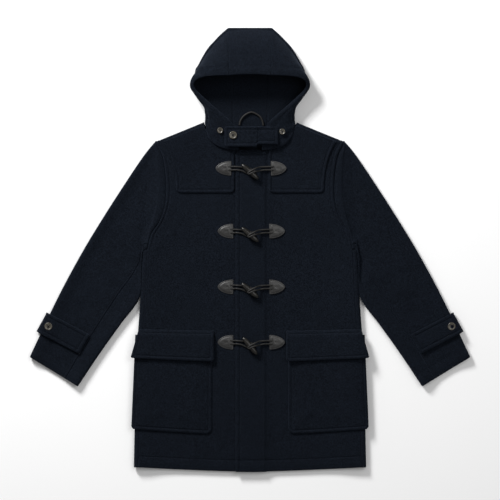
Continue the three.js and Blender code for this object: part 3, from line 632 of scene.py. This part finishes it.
def back_panel():
    hem = HEM_SIDE_Y + stations(60, 8, (HEM_STITCH,))
    y = np.concatenate([hem, np.linspace(-480, BACK_FOLD_TOP, 46), [-16, -10, -5, 0]])[:, None]
    half = half_width(y)

    def row_y(x):
        return y + (hem_y(x) - HEM_SIDE_Y) * (1 - (y - HEM_SIDE_Y) / (ARMPIT_Y - HEM_SIDE_Y))

    def lay(x, z):
        return xyz(x, row_y(x), z)

    pressed = 0.5 * groove(y - HEM_SIDE_Y, HEM_STITCH)
    turns = np.linspace(1, 0.08, 12)
    parts = []
    for sign in (1, -1):
        seam = lay(sign * (half - SIDE_SEAM_IN), 2 * SIDE_FOLD + 0 * y)
        crest = lay(sign * (half - SIDE_FOLD - 2), 2 * SIDE_FOLD + 0 * y)
        angle = turns * math.pi
        round_x = half - SIDE_FOLD + SIDE_FOLD * np.sin(angle)
        fold = lay(sign * round_x, SIDE_FOLD * (1 - np.cos(angle)) + 0 * y)
        parts.append(np.concatenate([seam, crest, fold], 1))
    across = np.linspace(1, -1, 40)
    floor = lay(across * (half - SIDE_FOLD), -pressed * smooth(1, 0.96, np.abs(across)) * 0.4)
    return np.concatenate([parts[0], floor, parts[1][:, ::-1]], 1)


def upper_back_panel():
    side = table(ARMHOLE, np.linspace(0, 1, 40))
    share = ((side[:, 1] - ARMPIT_Y) / (SHOULDER_Y - ARMPIT_Y))[:, None]
    across = np.unique(np.concatenate([np.linspace(-1, 1, 36), [-0.5, -0.47, 0.47, 0.5]]))[::-1]
    x = across * (side[:, :1] - SEAM)
    top = np.where(np.abs(x) < NECK_X, BACK_NECK_Y + BACK_NECK_RISE, top_y(x))
    y = lerp(BACK_FOLD_TOP + 0.6, top, share)
    return xyz(x, y, 0.0)


def build_body():
    cloth("back", [back_panel(), upper_back_panel()], ["floor"])
    cloth("front_right", [front_panel(-1, UNDERLAP, right_height)], ["back_cloth"])
    cloth("front_left", [front_panel(1, BAND_LEFT + 2, left_height)], ["back_cloth", "front_right_cloth"])
    hem_and_armhole_stitches(-1, BAND_LEFT - 2, right_height)
    hem_and_armhole_stitches(1, BAND_RIGHT + 2, left_height)


# ---- What is sewn onto the fronts ----------------------------------------------------------------
def band_height(x, y):
    lift = LAY + 2.0
    right = 1 - smooth(BAND_RIGHT - 5, BAND_RIGHT - 0.5, x)
    base = left_height(np.minimum(x, UNDERLAP + 18), y)
    far_line = 0.5 * np.exp(-(((x - BAND_FAR_STITCH_X) / 1.4) ** 2))
    return base + lift * (0.25 + 0.75 * right) + groove(x - BAND_LEFT, BAND_STITCH) - far_line


def build_band():
    width = BAND_RIGHT - BAND_LEFT
    u = stations(width, 6, (BAND_STITCH, width - 4))
    x = BAND_LEFT + u[None]
    v = stations(800, 9, (HEM_STITCH, 792))[:, None] / 800
    corner = 8.0
    near = np.maximum(0, corner - np.minimum(u, width - u))[None]
    rounding = corner - np.sqrt(np.maximum(0, corner**2 - near**2))
    y = lerp(hem_y(x) - 1, BAND_TOP - rounding, v)
    z = band_height(x, y) + groove(y - hem_y(x), HEM_STITCH) + groove(BAND_TOP - y)
    cloth("front_band", [xyz(x, y, z)], ["front_left_cloth"], 2.0)
    run = np.linspace(hem_y(0) + 3, BAND_TOP - 6, 260)
    stitch("front_band_cloth", BAND_LEFT + BAND_STITCH, run, band_height, 0.1)
    stitch("front_band_cloth", BAND_FAR_STITCH_X, run, band_height, -0.05)
    across = np.linspace(BAND_LEFT + 3, BAND_RIGHT - 4, 40)
    stitch("front_band_cloth", across, hem_y(across) + HEM_STITCH, band_height)
    stitch("front_band_cloth", across, BAND_TOP - EDGE_STITCH, band_height)


def rounded(radius, distance):
    """How far a round corner cuts into an edge, at a distance from the corner's side."""
    near = np.clip(radius - distance, 0, radius)
    return radius - np.sqrt(np.maximum(0, radius**2 - near**2))


def build_yoke(side, sign, support):
    inner = YOKE["inner"] if sign > 0 else YOKE["inner"] - 8
    u = shares(155, 7)[None]
    v = stations(150, 7, (EDGE_STITCH,))[:, None] / 150
    outer = lerp(YOKE["outer_bottom"], YOKE["outer_top"], v * v)
    x = lerp(inner, outer, u)
    from_side = np.minimum(x - inner, outer - x)
    bottom = YOKE["bottom"] + rounded(YOKE["corner"], from_side)
    y = lerp(bottom, top_y(x) - 2, v)
    from_edge = np.minimum(from_side, y - YOKE["bottom"])
    x = sign * x

    def height(a, b):
        return support(a, b) + LAY + CLOTH + 0.3

    grid = facing_up(xyz(x, y, height(x, y) + groove(from_edge)), sign)
    name = cloth(f"yoke_{side}", [grid], [f"front_{side}_cloth"]).name
    t = np.linspace(0, 1, 60)
    low = YOKE["bottom"] + EDGE_STITCH
    outer_line = lerp(YOKE["outer_bottom"], YOKE["outer_top"], t * t) - EDGE_STITCH
    stitch(name, sign * (inner + EDGE_STITCH), lerp(low, top_y(inner) - 8, t), height)
    stitch(name, sign * outer_line, lerp(low, top_y(YOKE["outer_top"]) - 8, t), height)
    across = np.linspace(inner + EDGE_STITCH, YOKE["outer_bottom"] - EDGE_STITCH, 60)
    stitch(name, sign * across, low, height)


def beside_fold(x, y):
    """Height of the front at |x|, falling away past the crest of its side fold."""
    crest = half_width(y) - SIDE_FOLD
    past = np.maximum(0, np.abs(x) - crest)
    at = np.sign(x) * np.minimum(np.abs(x), crest)
    return right_height(at, y) - 0.012 * past**2


def pocket_place(shape, u, v):
    outer = lerp(shape["outer_bottom"], shape["outer_top"], v)
    x = lerp(shape["inner"], outer, u)
    up = rounded(shape["corner"], x - shape["inner"]) + rounded(shape["corner"] * 0.5, outer - x)
    slant = shape["slant"] * ((x - shape["inner"]) / (outer - shape["inner"])) ** 1.3
    return x, lerp(shape["bottom"] + up + slant, shape["top"] + slant * 0.45, v)


def build_pocket(side, sign):
    """The bag, blown up a little along its middle, with its flap standing off it at the lower edge."""
    for kind, shape, wide, high in (("pocket", POCKET, 202, 240), ("pocket_flap", FLAP, 205, 76)):
        is_bag = kind == "pocket"
        u = shares(wide, 6)[None]
        v = shares(high, 6 if is_bag else 4)[:, None]
        x, y = pocket_place(shape, u, v)
        from_low = v if is_bag else np.minimum(v, 1 - v)
        from_edge = np.minimum(np.minimum(u, 1 - u) * wide, from_low * high)

        def lift(a, b):
            if is_bag:
                ends = np.minimum(smooth(0, 0.22, a), smooth(0, 0.26, 1 - a))
                return 4.4 * (1 - 0.35 * b) * np.minimum(ends, 0.12 + 0.88 * smooth(0, 0.2, b))
            wave = 0.5 * np.sin(a * 7.3 + sign) * (1 - b)
            return np.where(b > 0.8, 6.4 * smooth(1, 0.8, b), 6.4 + 3 * (0.8 - b)) + wave + 0.4

        z = beside_fold(sign * x, y) + LAY + CLOTH + lift(u, v) + groove(from_edge)
        grid = facing_up(xyz(sign * x, y, z), sign)
        below = "front" if is_bag else "pocket"
        name = cloth(f"{kind}_{side}", [grid], [f"{below}_{side}_cloth"]).name
        for us, vs in stitch_frame(EDGE_STITCH / wide, EDGE_STITCH / high, top=not is_bag):
            px, py = pocket_place(shape, us, vs)
            pz = beside_fold(sign * px, py) + LAY + CLOTH + lift(us, vs) - STITCH_SUNK
            stitch(name, sign * px, py, pz)


def stitch_frame(du, dv, top):
    """Stitch lines just inside a four-sided piece's edges, as (u, v) arrays."""
    t = np.linspace(0, 1, 90)
    lines = [
        (du + 0 * t, lerp(dv, 1 - dv if top else 1, t)),
        (1 - du + 0 * t, lerp(dv, 1 - dv if top else 1, t)),
        (lerp(du, 1 - du, t), dv + 0 * t),
    ]
    if top:
        lines.append((lerp(du, 1 - du, t), 1 - dv + 0 * t))
    return lines


# ---- Sleeves -------------------------------------------------------------------------------------
def sleeve_frame(share):
    row = table(SLEEVE_ROWS, share)
    out, inn = row[..., :2], row[..., 2:]
    width = np.linalg.norm(inn - out, axis=-1, keepdims=True)
    return out, (inn - out) / width, width[..., 0]


def sleeve_top(share, across):
    """Points of the upper face. Share runs down the sleeve, across from the outer fold to the inner."""
    share, across = np.broadcast_arrays(share, across)
    out, towards, width = sleeve_frame(share)
    r = SLEEVE_FOLD
    s = lerp(r, width - r, across)
    place = out + towards * s[..., None]
    edge = np.exp(-(((s - r) / 26) ** 2)) + np.exp(-(((width - r - s) / 26) ** 2))
    z = SLEEVE_TOP + (2 * r - SLEEVE_TOP) * np.minimum(1, edge)
    head = np.clip(1 - share / 0.16, 0, 1)
    ease = head * head * (3 - 2 * head)
    hole = table(ARMHOLE, 1 - across)
    tuck = np.clip(1 - share / 0.022, 0, 1)
    joint = hole + np.stack([lerp(3 * SEAM, -2.2, tuck), 0 * tuck], -1)
    hold = ease * (0.55 + 0.45 * np.clip(1 - share / 0.03, 0, 1))
    place = place + (joint - place) * hold[..., None]
    puff = 1.1 * np.sin(np.clip(share / 0.05, 0, 1) * math.pi)
    z = lerp(z, front_height(hole[..., 0], hole[..., 1]), ease) + puff
    z = z - (CLOTH + 1.6) * tuck**2
    return np.concatenate([place, z[..., None]], -1)


def sleeve_seam(share):
    return np.interp(share, np.linspace(0, 1, len(SLEEVE_SEAM)), SLEEVE_SEAM)


def sleeve_fold(share, at_outer, turn):
    crest = sleeve_top(share, 0.0 if at_outer else 1.0)
    _, towards, _ = sleeve_frame(np.asarray(share))
    r = crest[..., 2] / 2
    angle = turn * math.pi
    outward = (-1 if at_outer else 1) * r * np.sin(angle)
    xy = crest[..., :2] + towards * outward[..., None]
    return np.concatenate([xy, (r * (1 + np.cos(angle)))[..., None]], -1)


def from_cuff(points):
    """Distance of points from the line of the cuff's edge."""
    out, inn = np.array(SLEEVE_ROWS[-1][:2], float), np.array(SLEEVE_ROWS[-1][2:], float)
    along = (inn - out) / np.linalg.norm(inn - out)
    return np.abs((points[..., 0] - out[0]) * along[1] - (points[..., 1] - out[1]) * along[0])


def sleeve_finish(grid, sign, seam_column, seam_width):
    """Creases, the cuff's hem line and the pressed front seam, on the faces that look up."""
    top = smooth(3, 7, grid[..., 2])
    relief = creases(sign * grid[..., 0], grid[..., 1], SLEEVE_CREASES)
    ends = smooth(0, 0.1, np.linspace(0, 1, grid.shape[0]))[:, None]
    grid[..., 2] += top * (relief * ends + groove(from_cuff(grid), CUFF_STITCH))
    run = np.linalg.norm(grid - grid[:, seam_column][:, None], axis=-1)
    grid[..., 2] += top * 0.8 * groove(run, seam_width)
    return facing_up(grid * (sign, 1, 1), sign)


def build_sleeve(side, sign):
    parts = ((0, 0.06, 12), (0.07, 0.9, 84), (0.905, 1, 26))
    share = np.unique(np.concatenate([np.linspace(*part) for part in parts]))
    rows = share[:, None]
    floor_across = np.linspace(BACK_SLEEVE_SEAM, 0, 12)
    turns = np.linspace(1, 0, 13)[1:-1]
    seam = sleeve_seam(rows)
    near_seam = np.array([0.08, 0.06, 0.045, 0.03, 0.02, 0.01, SLEEVE_SEAM_GAP])
    top_across = np.concatenate([np.linspace(0, 1, 26) * (seam - 0.1), seam - near_seam], 1)

    def on_floor(across):
        points = sleeve_top(rows, across[None])
        points[..., 2] = 0
        return points

    fold = np.stack([sleeve_fold(share, True, t) for t in turns], 1)
    upper = np.concatenate([on_floor(floor_across), fold, sleeve_top(rows, top_across)], 1)
    inward = np.array([0, 0.03, 0.07, 0.12, 0.18, 0.26, 0.36, 0.5, 0.65, 0.82, 1])
    under_across = lerp(seam + SLEEVE_SEAM_GAP, 1, inward[None])
    under_fold = np.stack([sleeve_fold(share, False, t) for t in turns[::-1]], 1)
    under_floor = on_floor(np.linspace(1, BACK_SLEEVE_SEAM + 2 * SLEEVE_SEAM_GAP, 8))
    under = np.concatenate([sleeve_top(rows, under_across), under_fold, under_floor], 1)
    names = [
        cloth(f"sleeve_upper_{side}", [sleeve_finish(upper, sign, -1, 7.0)], ["floor"]).name,
        cloth(f"sleeve_under_{side}", [sleeve_finish(under, sign, 0, 60.0)], ["floor"]).name,
    ]
    path_share = np.linspace(0.05, 0.995, 200)
    path = sleeve_top(path_share, sleeve_seam(path_share) - 0.02 - 0.03 * path_share)
    cuff_across = np.linspace(0.02, 1, 70)
    # the last of the sleeve's seven rows is 161 mm long at the outer fold and 61 mm at the inner one
    cuff_share = 1 - lerp(CUFF_STITCH / (161 * 7), CUFF_STITCH / (61 * 7), cuff_across) * 0.98
    cuff = sleeve_top(cuff_share, cuff_across)
    for line in (path, cuff):
        x = sign * line[:, 0]
        z = np.array([top_at(names, a, b) for a, b in zip(x, line[:, 1])])
        stitch(names[0], x, line[:, 1], z)


def build_cuff_tab(side, sign):
    names = [f"sleeve_upper_{side}_cloth", f"sleeve_under_{side}_cloth"]
    long, wide = CUFF_TAB["length"], CUFF_TAB["width"]
    u, v = shares(long, 8)[None], shares(wide, 8)[:, None]
    fold, seam, step = (np.array(CUFF_TAB[k], float) for k in ("fold", "seam", "step"))
    place = fold + (seam - fold) * u[..., None] + step * v[..., None]
    x, y = sign * place[..., 0], place[..., 1]
    below = np.array([[top_at(names, a, b, 7) for a, b in zip(*row)] for row in zip(x, y)])
    from_edge = np.minimum(np.minimum(u, 1 - u) * long, np.minimum(v, 1 - v) * wide)
    # u runs against +X on the wearer's left, so this grid is turned the other way to face up
    grid = facing_up(xyz(x, y, below + LAY + CLOTH + groove(from_edge)), -sign)
    tab = cloth(f"cuff_tab_{side}", [grid], names)
    for us, vs in stitch_frame(EDGE_STITCH / long, EDGE_STITCH / wide, top=True):
        p = fold + (seam - fold) * us[:, None] + step * vs[:, None]
        z = [top_at([tab.name], sign * a, b) for a, b in p]
        stitch(tab.name, sign * p[:, 0], p[:, 1], z)


# ---- Hood ----------------------------------------------------------------------------------------
def hood_line(row):
    """One line of the hood: from the rim over the front, round the fold, along the floor to the back."""
    rim, mid, fold = row[:3], row[3:6], row[6:9]
    out = np.array([fold[0] - mid[0], fold[1] - mid[1], 0.0])
    out /= np.linalg.norm(out)
    radius = fold[2]
    crest = np.array([fold[0], fold[1], 0]) - out * radius + (0, 0, 2 * radius)
    pull = 2 * mid - 0.5 * rim - 0.5 * crest
    reach = np.linalg.norm(crest - rim)
    s = (stations(reach, 6, (RIM_STITCH,)) / reach) if reach > 60 else np.linspace(0, 1, 34)
    s = np.interp(np.linspace(0, 1, 34), np.linspace(0, 1, len(s)), s)[:, None]
    over = (1 - s) ** 2 * rim + 2 * s * (1 - s) * pull + s * s * crest
    angle = np.linspace(0, math.pi, 11)[1:-1, None]
    base = crest - (0, 0, radius)
    turned = base + out * radius * np.sin(angle) + np.array([0, 0, radius]) * np.cos(angle)
    floor = np.array([crest[0], crest[1], 0])
    back_half = lerp(CROWN_BACK_HALF, row[6] - 2, smooth(CROWN_NARROW_FROM, HOOD_ROWS[0][9], row[9]))
    back = np.array([back_half, row[9], 0])
    return np.concatenate([over, turned, floor + (back - floor) * np.linspace(0, 1, 12)[:, None]])


def hood_finish(grid, sign):
    """The rim's turned hem with its stitch line, and creases where the hood is propped and bends."""
    step = np.linalg.norm(np.diff(grid, axis=1), axis=2)
    run = np.concatenate([np.zeros((len(grid), 1)), np.cumsum(step, axis=1)], 1)
    amount = 1.1 * (1 - smooth(20, 25, run)) + groove(run, RIM_STITCH, 0.8) * smooth(60, 30, run)
    amount += creases(sign * grid[..., 0], grid[..., 1], HOOD_CREASES) * smooth(4, 16, grid[..., 2])
    return grid + normals_of(grid) * amount[..., None], run


def build_hood():
    rows = table(HOOD_ROWS, np.linspace(1, 0, 84))
    side = np.array([hood_line(row) for row in rows])
    for name, sign in (("left", 1), ("right", -1)):
        grid, run = hood_finish(side, sign)
        grid = grid * (sign, 1, 1)
        rim_at = np.array([np.argmin(np.abs(r - RIM_STITCH)) for r in run])
        rim_line = grid[np.arange(len(grid)), rim_at]
        piece = cloth(f"hood_side_{name}", [facing_up(grid, sign)], ["floor", "back_cloth"]).name
        for line in (rim_line, grid[-4, 2:34]):
            stitch(piece, line[:, 0], line[:, 1], line[:, 2] + 0.1)
    over = side[-1][:43]
    down = side[::-1, -1]
    edge = np.concatenate([over, down[down[:, 1] < over[-1, 1] - 1]])
    across = np.concatenate([[-1, -0.97, -0.93, -0.88], np.linspace(-0.8, 0.8, 17), [0.88, 0.93, 0.97, 1]])
    bow = np.zeros(len(edge))
    bow[:34] = 2.5
    x = across[None] * (edge[:, :1] - 1.2 * SEAM)
    y = edge[:, 1:2] + bow[:, None] * (1 - across[None] ** 2)
    z = np.repeat(edge[:, 2:3], len(across), 1)
    run = run_along(edge)[:, None]
    z = z + 1.1 * (1 - smooth(20, 25, run)) * (z > 20)
    z = z + groove(run, RIM_STITCH, 0.8) * smooth(60, 30, run)
    z = z + creases(x, y, HOOD_CREASES) * smooth(14, 24, z)
    crown = xyz(x, y, z)
    piece = cloth("hood_crown", [crown], ["floor"]).name
    row = int(np.argmin(np.abs(run[:, 0] - RIM_STITCH)))
    stitch(piece, crown[row, :, 0], crown[row, :, 1], crown[row, :, 2] + 0.1)


def build_throat_tab():
    long, wide = TAB["right"] - TAB["left"], TAB["top"] - TAB["bottom"]
    u = shares(long, 6, TAB["step_at"] - TAB["left"])[None]
    v = shares(wide, 6)[:, None]
    x = lerp(TAB["left"], TAB["right"], u)
    bottom = TAB["bottom"] + TAB["step_up"] * smooth(TAB["step_at"] - 3, TAB["step_at"] + 3, x)
    cut = rounded(6, x - TAB["left"])
    y = lerp(bottom + cut, TAB["top"] - cut, v)
    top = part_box("throat_tab")[1][2] / MM

    def height(a):
        behind = 2.0 * smooth(TAB["step_at"] - 0.5, TAB["step_at"] + 1.5, a)
        return top - 0.0006 * a * a - behind

    from_side = np.minimum(x - TAB["left"], TAB["right"] - x)
    from_edge = np.minimum(from_side, np.minimum(y - bottom, TAB["top"] - y))
    grid = xyz(x, y, height(x) + groove(from_edge))
    tab = cloth("throat_tab", [grid], ["hood_side_right_cloth", "hood_side_left_cloth"])
    for us, vs in stitch_frame(EDGE_STITCH / long, EDGE_STITCH / wide, top=True):
        px = lerp(TAB["left"], TAB["right"], us)
        py = lerp(TAB["bottom"], TAB["top"], vs)
        stitch(tab.name, px, py, height(px) - 0.8)


# ---- Buttons, toggles, patches and cords ---------------------------------------------------------
def build_button(node, radius):
    """A turned four-hole button with a raised rim, sewn on with crossed thread."""
    low, high = box_of(node)
    centre = np.array([(low[0] + high[0]) / 2, (low[1] + high[1]) / 2 - SHIFT, low[2]])
    r = radius
    edge = [(0, 0.3), (r * 0.7, 0), (r * 0.92, 0.5), (r, 1.5), (r * 0.97, 2.5), (r * 0.88, 3.1)]
    face = [(r * 0.78, 3.0), (r * 0.7, 2.5), (r * 0.6, 2.2), (r * 0.3, 2.1), (0, 2.1)]
    vertices, faces = lathe(edge + face, 40)
    make(node + "_turned", vertices + centre, faces, BUTTON, "button", [node])
    hole_at = r * 0.26
    holes, threads = [], []
    for sx in (-1, 1):
        for sy in (-1, 1):
            v, f = lathe([(0, 1.9), (r * 0.105, 1.9), (r * 0.115, 2.16), (0, 2.14)], 12)
            holes.append((v + centre + (sx * hole_at, sy * hole_at, 0), f))
    for s in (-1, 1):
        arc = [(-hole_at, -s * hole_at, 2.2), (0, 0, 2.75 + 0.1 * s), (hole_at, s * hole_at, 2.2)]
        threads.append(tube(curve_through(arc, 9) + centre, r * 0.07, 6))
    make(node + "_thread", *merged(holes + threads), THREAD, "cord")


def patch_outline(sign, count=64):
    """A leather patch's edge from its flat side: a rounded triangle that points away from the band."""
    along = np.sin(np.linspace(0.02, 1, count // 2) * math.pi / 2)
    half = PATCH_HALF * (1 - along**2.2) ** 0.62 - rounded(3.0, along * PATCH_LENGTH)
    lower = np.stack([along * PATCH_LENGTH, -half], 1)
    upper = np.stack([along * PATCH_LENGTH, half], 1)[::-1]
    return np.concatenate([lower, upper[1:]]) * (sign, 1)


def build_patch(side, sign, number, supports):
    """A domed leather patch, thin at its edge, humped over the two cord ends, with a stitch line round it."""
    node = f"toggle_patch_{side}_{number}"
    low, high = box_of(node)
    edge_x = high[0] if sign < 0 else low[0]
    row = (low[1] + high[1]) / 2 - SHIFT
    outline = patch_outline(sign)
    middle = np.array([sign * 17.0, 0.0])
    rings = [1.0, 0.985, 0.95, 0.9, 0.84, 0.76, 0.66, 0.54, 0.4, 0.25, 0.1]
    vertices = []
    under = [(a, b) for a in (2, 14) for b in (-15, -7, 0, 7, 15)] + [(30, b) for b in (-7, 0, 7)]
    below = max(top_at(supports, edge_x + sign * a, row + b) for a, b in under)
    for k, scale in enumerate(rings):
        p = middle + (outline - middle) * scale
        inset = (1 - scale) * 18
        dome = 1.1 + 1.7 * smooth(0, 8, inset) - 0.5 * np.exp(-(((inset - 2.6) / 0.6) ** 2))
        if k == 0:
            dome = 0.7
        x_in = np.abs(p[:, 0])
        strands = sum(np.exp(-(((p[:, 1] - at) / 2.2) ** 2)) for at in (4.4, -4.4))
        hump = 2.2 * strands * (1 - smooth(8, 26, x_in)) * smooth(0, 1.2, inset + 0.7)
        lip = 0.7 * np.exp(-(((x_in - 5.2) / 0.9) ** 2)) * smooth(1, 3, inset)
        z = below + 0.2 + dome + hump - lip
        vertices.append(xyz(p[:, 0] + edge_x, p[:, 1] + row, z))
    bottom = vertices[0] - (0, 0, 0.9)
    n = len(outline)
    vertices = np.concatenate([bottom, *vertices, [[edge_x + middle[0], row, below + 3.2]]])
    faces = ring_faces(len(rings) + 1, n)
    tip, last = len(vertices) - 1, len(rings) * n
    faces += [(last + s, last + (s + 1) % n, tip) for s in range(n)]
    faces.append(tuple(range(n))[::-1])
    if sign < 0:
        faces = [face[::-1] for face in faces]
    patch = make(node + "_leather", vertices, faces, LEATHER, "patch_leather", [node])
    seam = middle + (outline - middle) * 0.86
    seam_x, seam_y = seam[:, 0] + edge_x, seam[:, 1] + row
    stitch(patch.name, seam_x, seam_y, [top_at([patch.name], a, b) for a, b in zip(seam_x, seam_y)])
    return edge_x, below


def toggle_profile():
    """A horn toggle: a slim spindle with blunt ends and a shallow waist where its cord sits."""
    points = []
    for t in np.linspace(-1, 1, 41):
        body = 6.2 * (1 - abs(t) ** 2.6) ** 0.62
        waist = 0.9 * math.exp(-((t / 0.1) ** 2))
        points.append((max(0.0, body - waist + 0.9 * (1 - abs(t) ** 12)), t * TOGGLE_HALF))
    points[0], points[-1] = (0, -TOGGLE_HALF), (0, TOGGLE_HALF)
    return points


def braid(path, radius, sides=10, twist=1.9, relief=0.09):
    """A cord of four strands along a path."""
    return tube(path, radius, sides, twist, 4, relief)


def build_toggle_row(index, row):
    number = index + 1
    under = ("front_right", "front_left", "front_band", "yoke_right", "yoke_left")
    supports = [name + "_cloth" for name in under]
    right_edge, right_z = build_patch("right", -1, number, supports)
    left_edge, left_z = build_patch("left", 1, number, supports)
    low, high = box_of(f"toggle_{number}")
    toggle_y, toggle_z = row - TOGGLE_DROP, (low[2] + high[2]) / 2 - 1.6
    band = top_at(["front_band_cloth"], 0, row)
    on_band = band + 2.3
    angle = math.radians(TOGGLE_ANGLES[index])
    vertices, faces = lathe(toggle_profile(), 24)
    grain = 0.12 * np.sin(vertices[:, 2] * 1.1 + 5 * np.arctan2(vertices[:, 1], vertices[:, 0]) + index)
    vertices[:, :2] *= 1 + grain[:, None] * 0.12
    lying = vertices[:, [2, 1, 0]] * (1, 1, -1)
    c, s = math.cos(angle), math.sin(angle)
    turned_x, turned_y = lying[:, 0] * c - lying[:, 1] * s, lying[:, 0] * s + lying[:, 1] * c
    horn = xyz(turned_x, turned_y, lying[:, 2]) + (0, toggle_y, toggle_z)
    make(f"toggle_{number}_horn", horn, faces, HORN, "toggle_horn", [f"toggle_{number}"])

    def strand(points):
        """A cord bent double through points (x, y past the row, z), whose ends go under its patch."""
        route = [(x, row + y, z) for x, y, z in points]
        return braid(curve_through(route, 60), CORD_RADIUS)

    # The wearer's right cord lies under the toggle; its loop comes round the far side.
    right = [(right_edge - 9, 4.4, right_z + 2.4), (right_edge + 1, 4.2, right_z + 3.0)]
    right += [(BAND_LEFT + 3, 3.9, on_band + 0.3), (-22, 3.2, on_band), (-8, 1, on_band)]
    right += [(5, -3, on_band), (12, -9, on_band + 0.6), (6, -15, on_band + 0.3)]
    right += [(-6, -13, on_band), (-20, -6.5, on_band), (BAND_LEFT + 3, -4.2, on_band + 0.3)]
    right += [(right_edge + 1, -4.3, right_z + 3.0), (right_edge - 9, -4.4, right_z + 2.4)]
    make(f"toggle_cord_right_{number}_braid", *strand(right), CORD, "cord", [f"toggle_cord_right_{number}"])
    # The left cord holds the toggle: it comes over the waist and is wrapped round it.
    over = toggle_z + 8.0
    left = [(left_edge + 9, 4.4, left_z + 2.4), (left_edge - 1, 4.2, left_z + 3.0)]
    left += [(36, 3.6, on_band + 0.6), (24, 2.6, on_band + 3.5), (14, -1, over - 2), (4, -6, over)]
    left += [(-5, -12, over - 1.6), (-2, -15, over - 1.8), (6, -11.5, over), (15, -8.5, over - 2.4)]
    left += [(25, -6.2, on_band + 3.2), (36, -4.4, on_band + 0.6)]
    left += [(left_edge - 1, -4.2, left_z + 3.0), (left_edge + 9, -4.4, left_z + 2.4)]
    wrap_angle = np.linspace(0.2, 2 * math.pi + 0.2, 40)
    ring_x = -s * WAIST_RADIUS * np.cos(wrap_angle)
    ring_y = toggle_y + c * WAIST_RADIUS * np.cos(wrap_angle)
    ring = xyz(ring_x, ring_y, toggle_z + WAIST_RADIUS * np.sin(wrap_angle))
    slide = np.linspace(-1.8, 1.8, 40)[:, None] * np.array([c, s, 0])
    parts = [strand(left), braid(ring + slide, WRAP_RADIUS)]
    make(f"toggle_cord_left_{number}_braid", *merged(parts), CORD, "cord", [f"toggle_cord_left_{number}"])


def build_hanger():
    z = 2.4 + LAY + 2.1
    points = [(-27, 318, z - 0.5), (-24, 330, z), (-14, 343, z + 1), (4, 351, z + 1.4)]
    points += [(23, 342, z + 1), (31, 330, z), (34, 317, z - 0.5)]
    loop = braid(curve_through(points, 70), 2.1, 12, 1.6, 0.1)
    make("hanger_loop_braid", *loop, CORD, "cord", ["hanger_loop"])


def build_stitches(name, lines):
    """Every stitch on a piece as its own short length of thread, with a gap to the next."""
    pitch, length, radius = 4.6, 3.3, 0.42
    parts_v, parts_f, base = [], [], 0
    ring = np.arange(5) * 2 * math.pi / 5
    for line in lines:
        run = run_along(line)
        count = int(run[-1] // pitch)
        if count < 2:
            continue
        start = (np.arange(count) + 0.15) * pitch
        head, waist, tail = (
            np.stack([np.interp(start + d, run, line[:, k]) for k in range(3)], 1)
            for d in (0, length / 2, length)
        )
        side, up = side_and_up(unit(tail - head))
        for k in range(count):
            around = np.cos(ring)[:, None] * side[k] + np.sin(ring)[:, None] * up[k]
            middle = waist[k] + up[k] * 0.3 + radius * around
            parts_v.extend([head[k] - up[k] * 0.25, tail[k] - up[k] * 0.25, *middle])
            for s in range(5):
                a, b = base + 2 + s, base + 2 + (s + 1) % 5
                parts_f.append((base, b, a))
                parts_f.append((base + 1, a, b))
            base += 7
    slot = "melton" if name in sheets else "patch_leather"
    return make(name.rsplit("_", 1)[0] + "_stitches", parts_v, parts_f, THREAD, slot)


# ---- The coat ------------------------------------------------------------------------------------
build_body()
build_yoke("right", -1, right_height)
build_yoke("left", 1, left_height)
build_band()
for side_name, side_sign in (("right", -1), ("left", 1)):
    build_pocket(side_name, side_sign)
    build_sleeve(side_name, side_sign)
    build_cuff_tab(side_name, side_sign)
build_hood()
build_throat_tab()
for button_node, button_radius in (
    ("throat_button", 10),
    ("latch_button_right", 7.5),
    ("latch_button_left", 7.5),
    ("cuff_button_right", 10),
    ("cuff_button_left", 10),
):
    build_button(button_node, button_radius)
for toggle_index, toggle_row in enumerate(TOGGLE_ROWS):
    build_toggle_row(toggle_index, toggle_row)
build_hanger()
stitches = {name: build_stitches(name, lines) for name, lines in stitch_lines.items()}

# ---- Floor, light and camera ---------------------------------------------------------------------
bpy.ops.mesh.primitive_plane_add(size=9, location=(0, 0, -0.0011))
floor = bpy.context.object
floor.name = "floor"
floor_nodes = Nodes("floor_paper")
floor_nodes.set(Base_Color=(0.93, 0.93, 0.93, 1), Roughness=0.9)
floor.data.materials.append(floor_nodes.material)

world = bpy.data.worlds.new("studio")
world.use_nodes = True
world.node_tree.nodes["Background"].inputs["Color"].default_value = (1, 1, 1, 1)
world.node_tree.nodes["Background"].inputs["Strength"].default_value = 0.3
bpy.context.scene.world = world


def area_light(name, place, size, power):
    """A square soft box that faces the coat."""
    data = bpy.data.lights.new(name, "AREA")
    data.size = size
    data.energy = power
    light = bpy.data.objects.new(name, data)
    bpy.context.scene.collection.objects.link(light)
    light.location = place
    towards_coat = -light.location
    light.rotation_euler = towards_coat.to_track_quat("-Z", "Y").to_euler()


area_light("key", (-1.7, 2.5, 1.8), 0.9, 165)
area_light("fill", (1.6, 0.9, 3.2), 2.2, 36)

camera_data = bpy.data.cameras.new("camera")
camera = bpy.data.objects.new("camera", camera_data)
bpy.context.scene.collection.objects.link(camera)
CAMERA_HEIGHT, FIELD = 8.0, 1.275  # metres: the field is the width of floor that the picture shows
camera.location = (0, SHIFT * MM, CAMERA_HEIGHT)
camera_data.lens = camera_data.sensor_width * CAMERA_HEIGHT / FIELD
camera_data.clip_end = 50
bpy.context.scene.camera = camera
bpy.context.scene.view_settings.view_transform = "Standard"
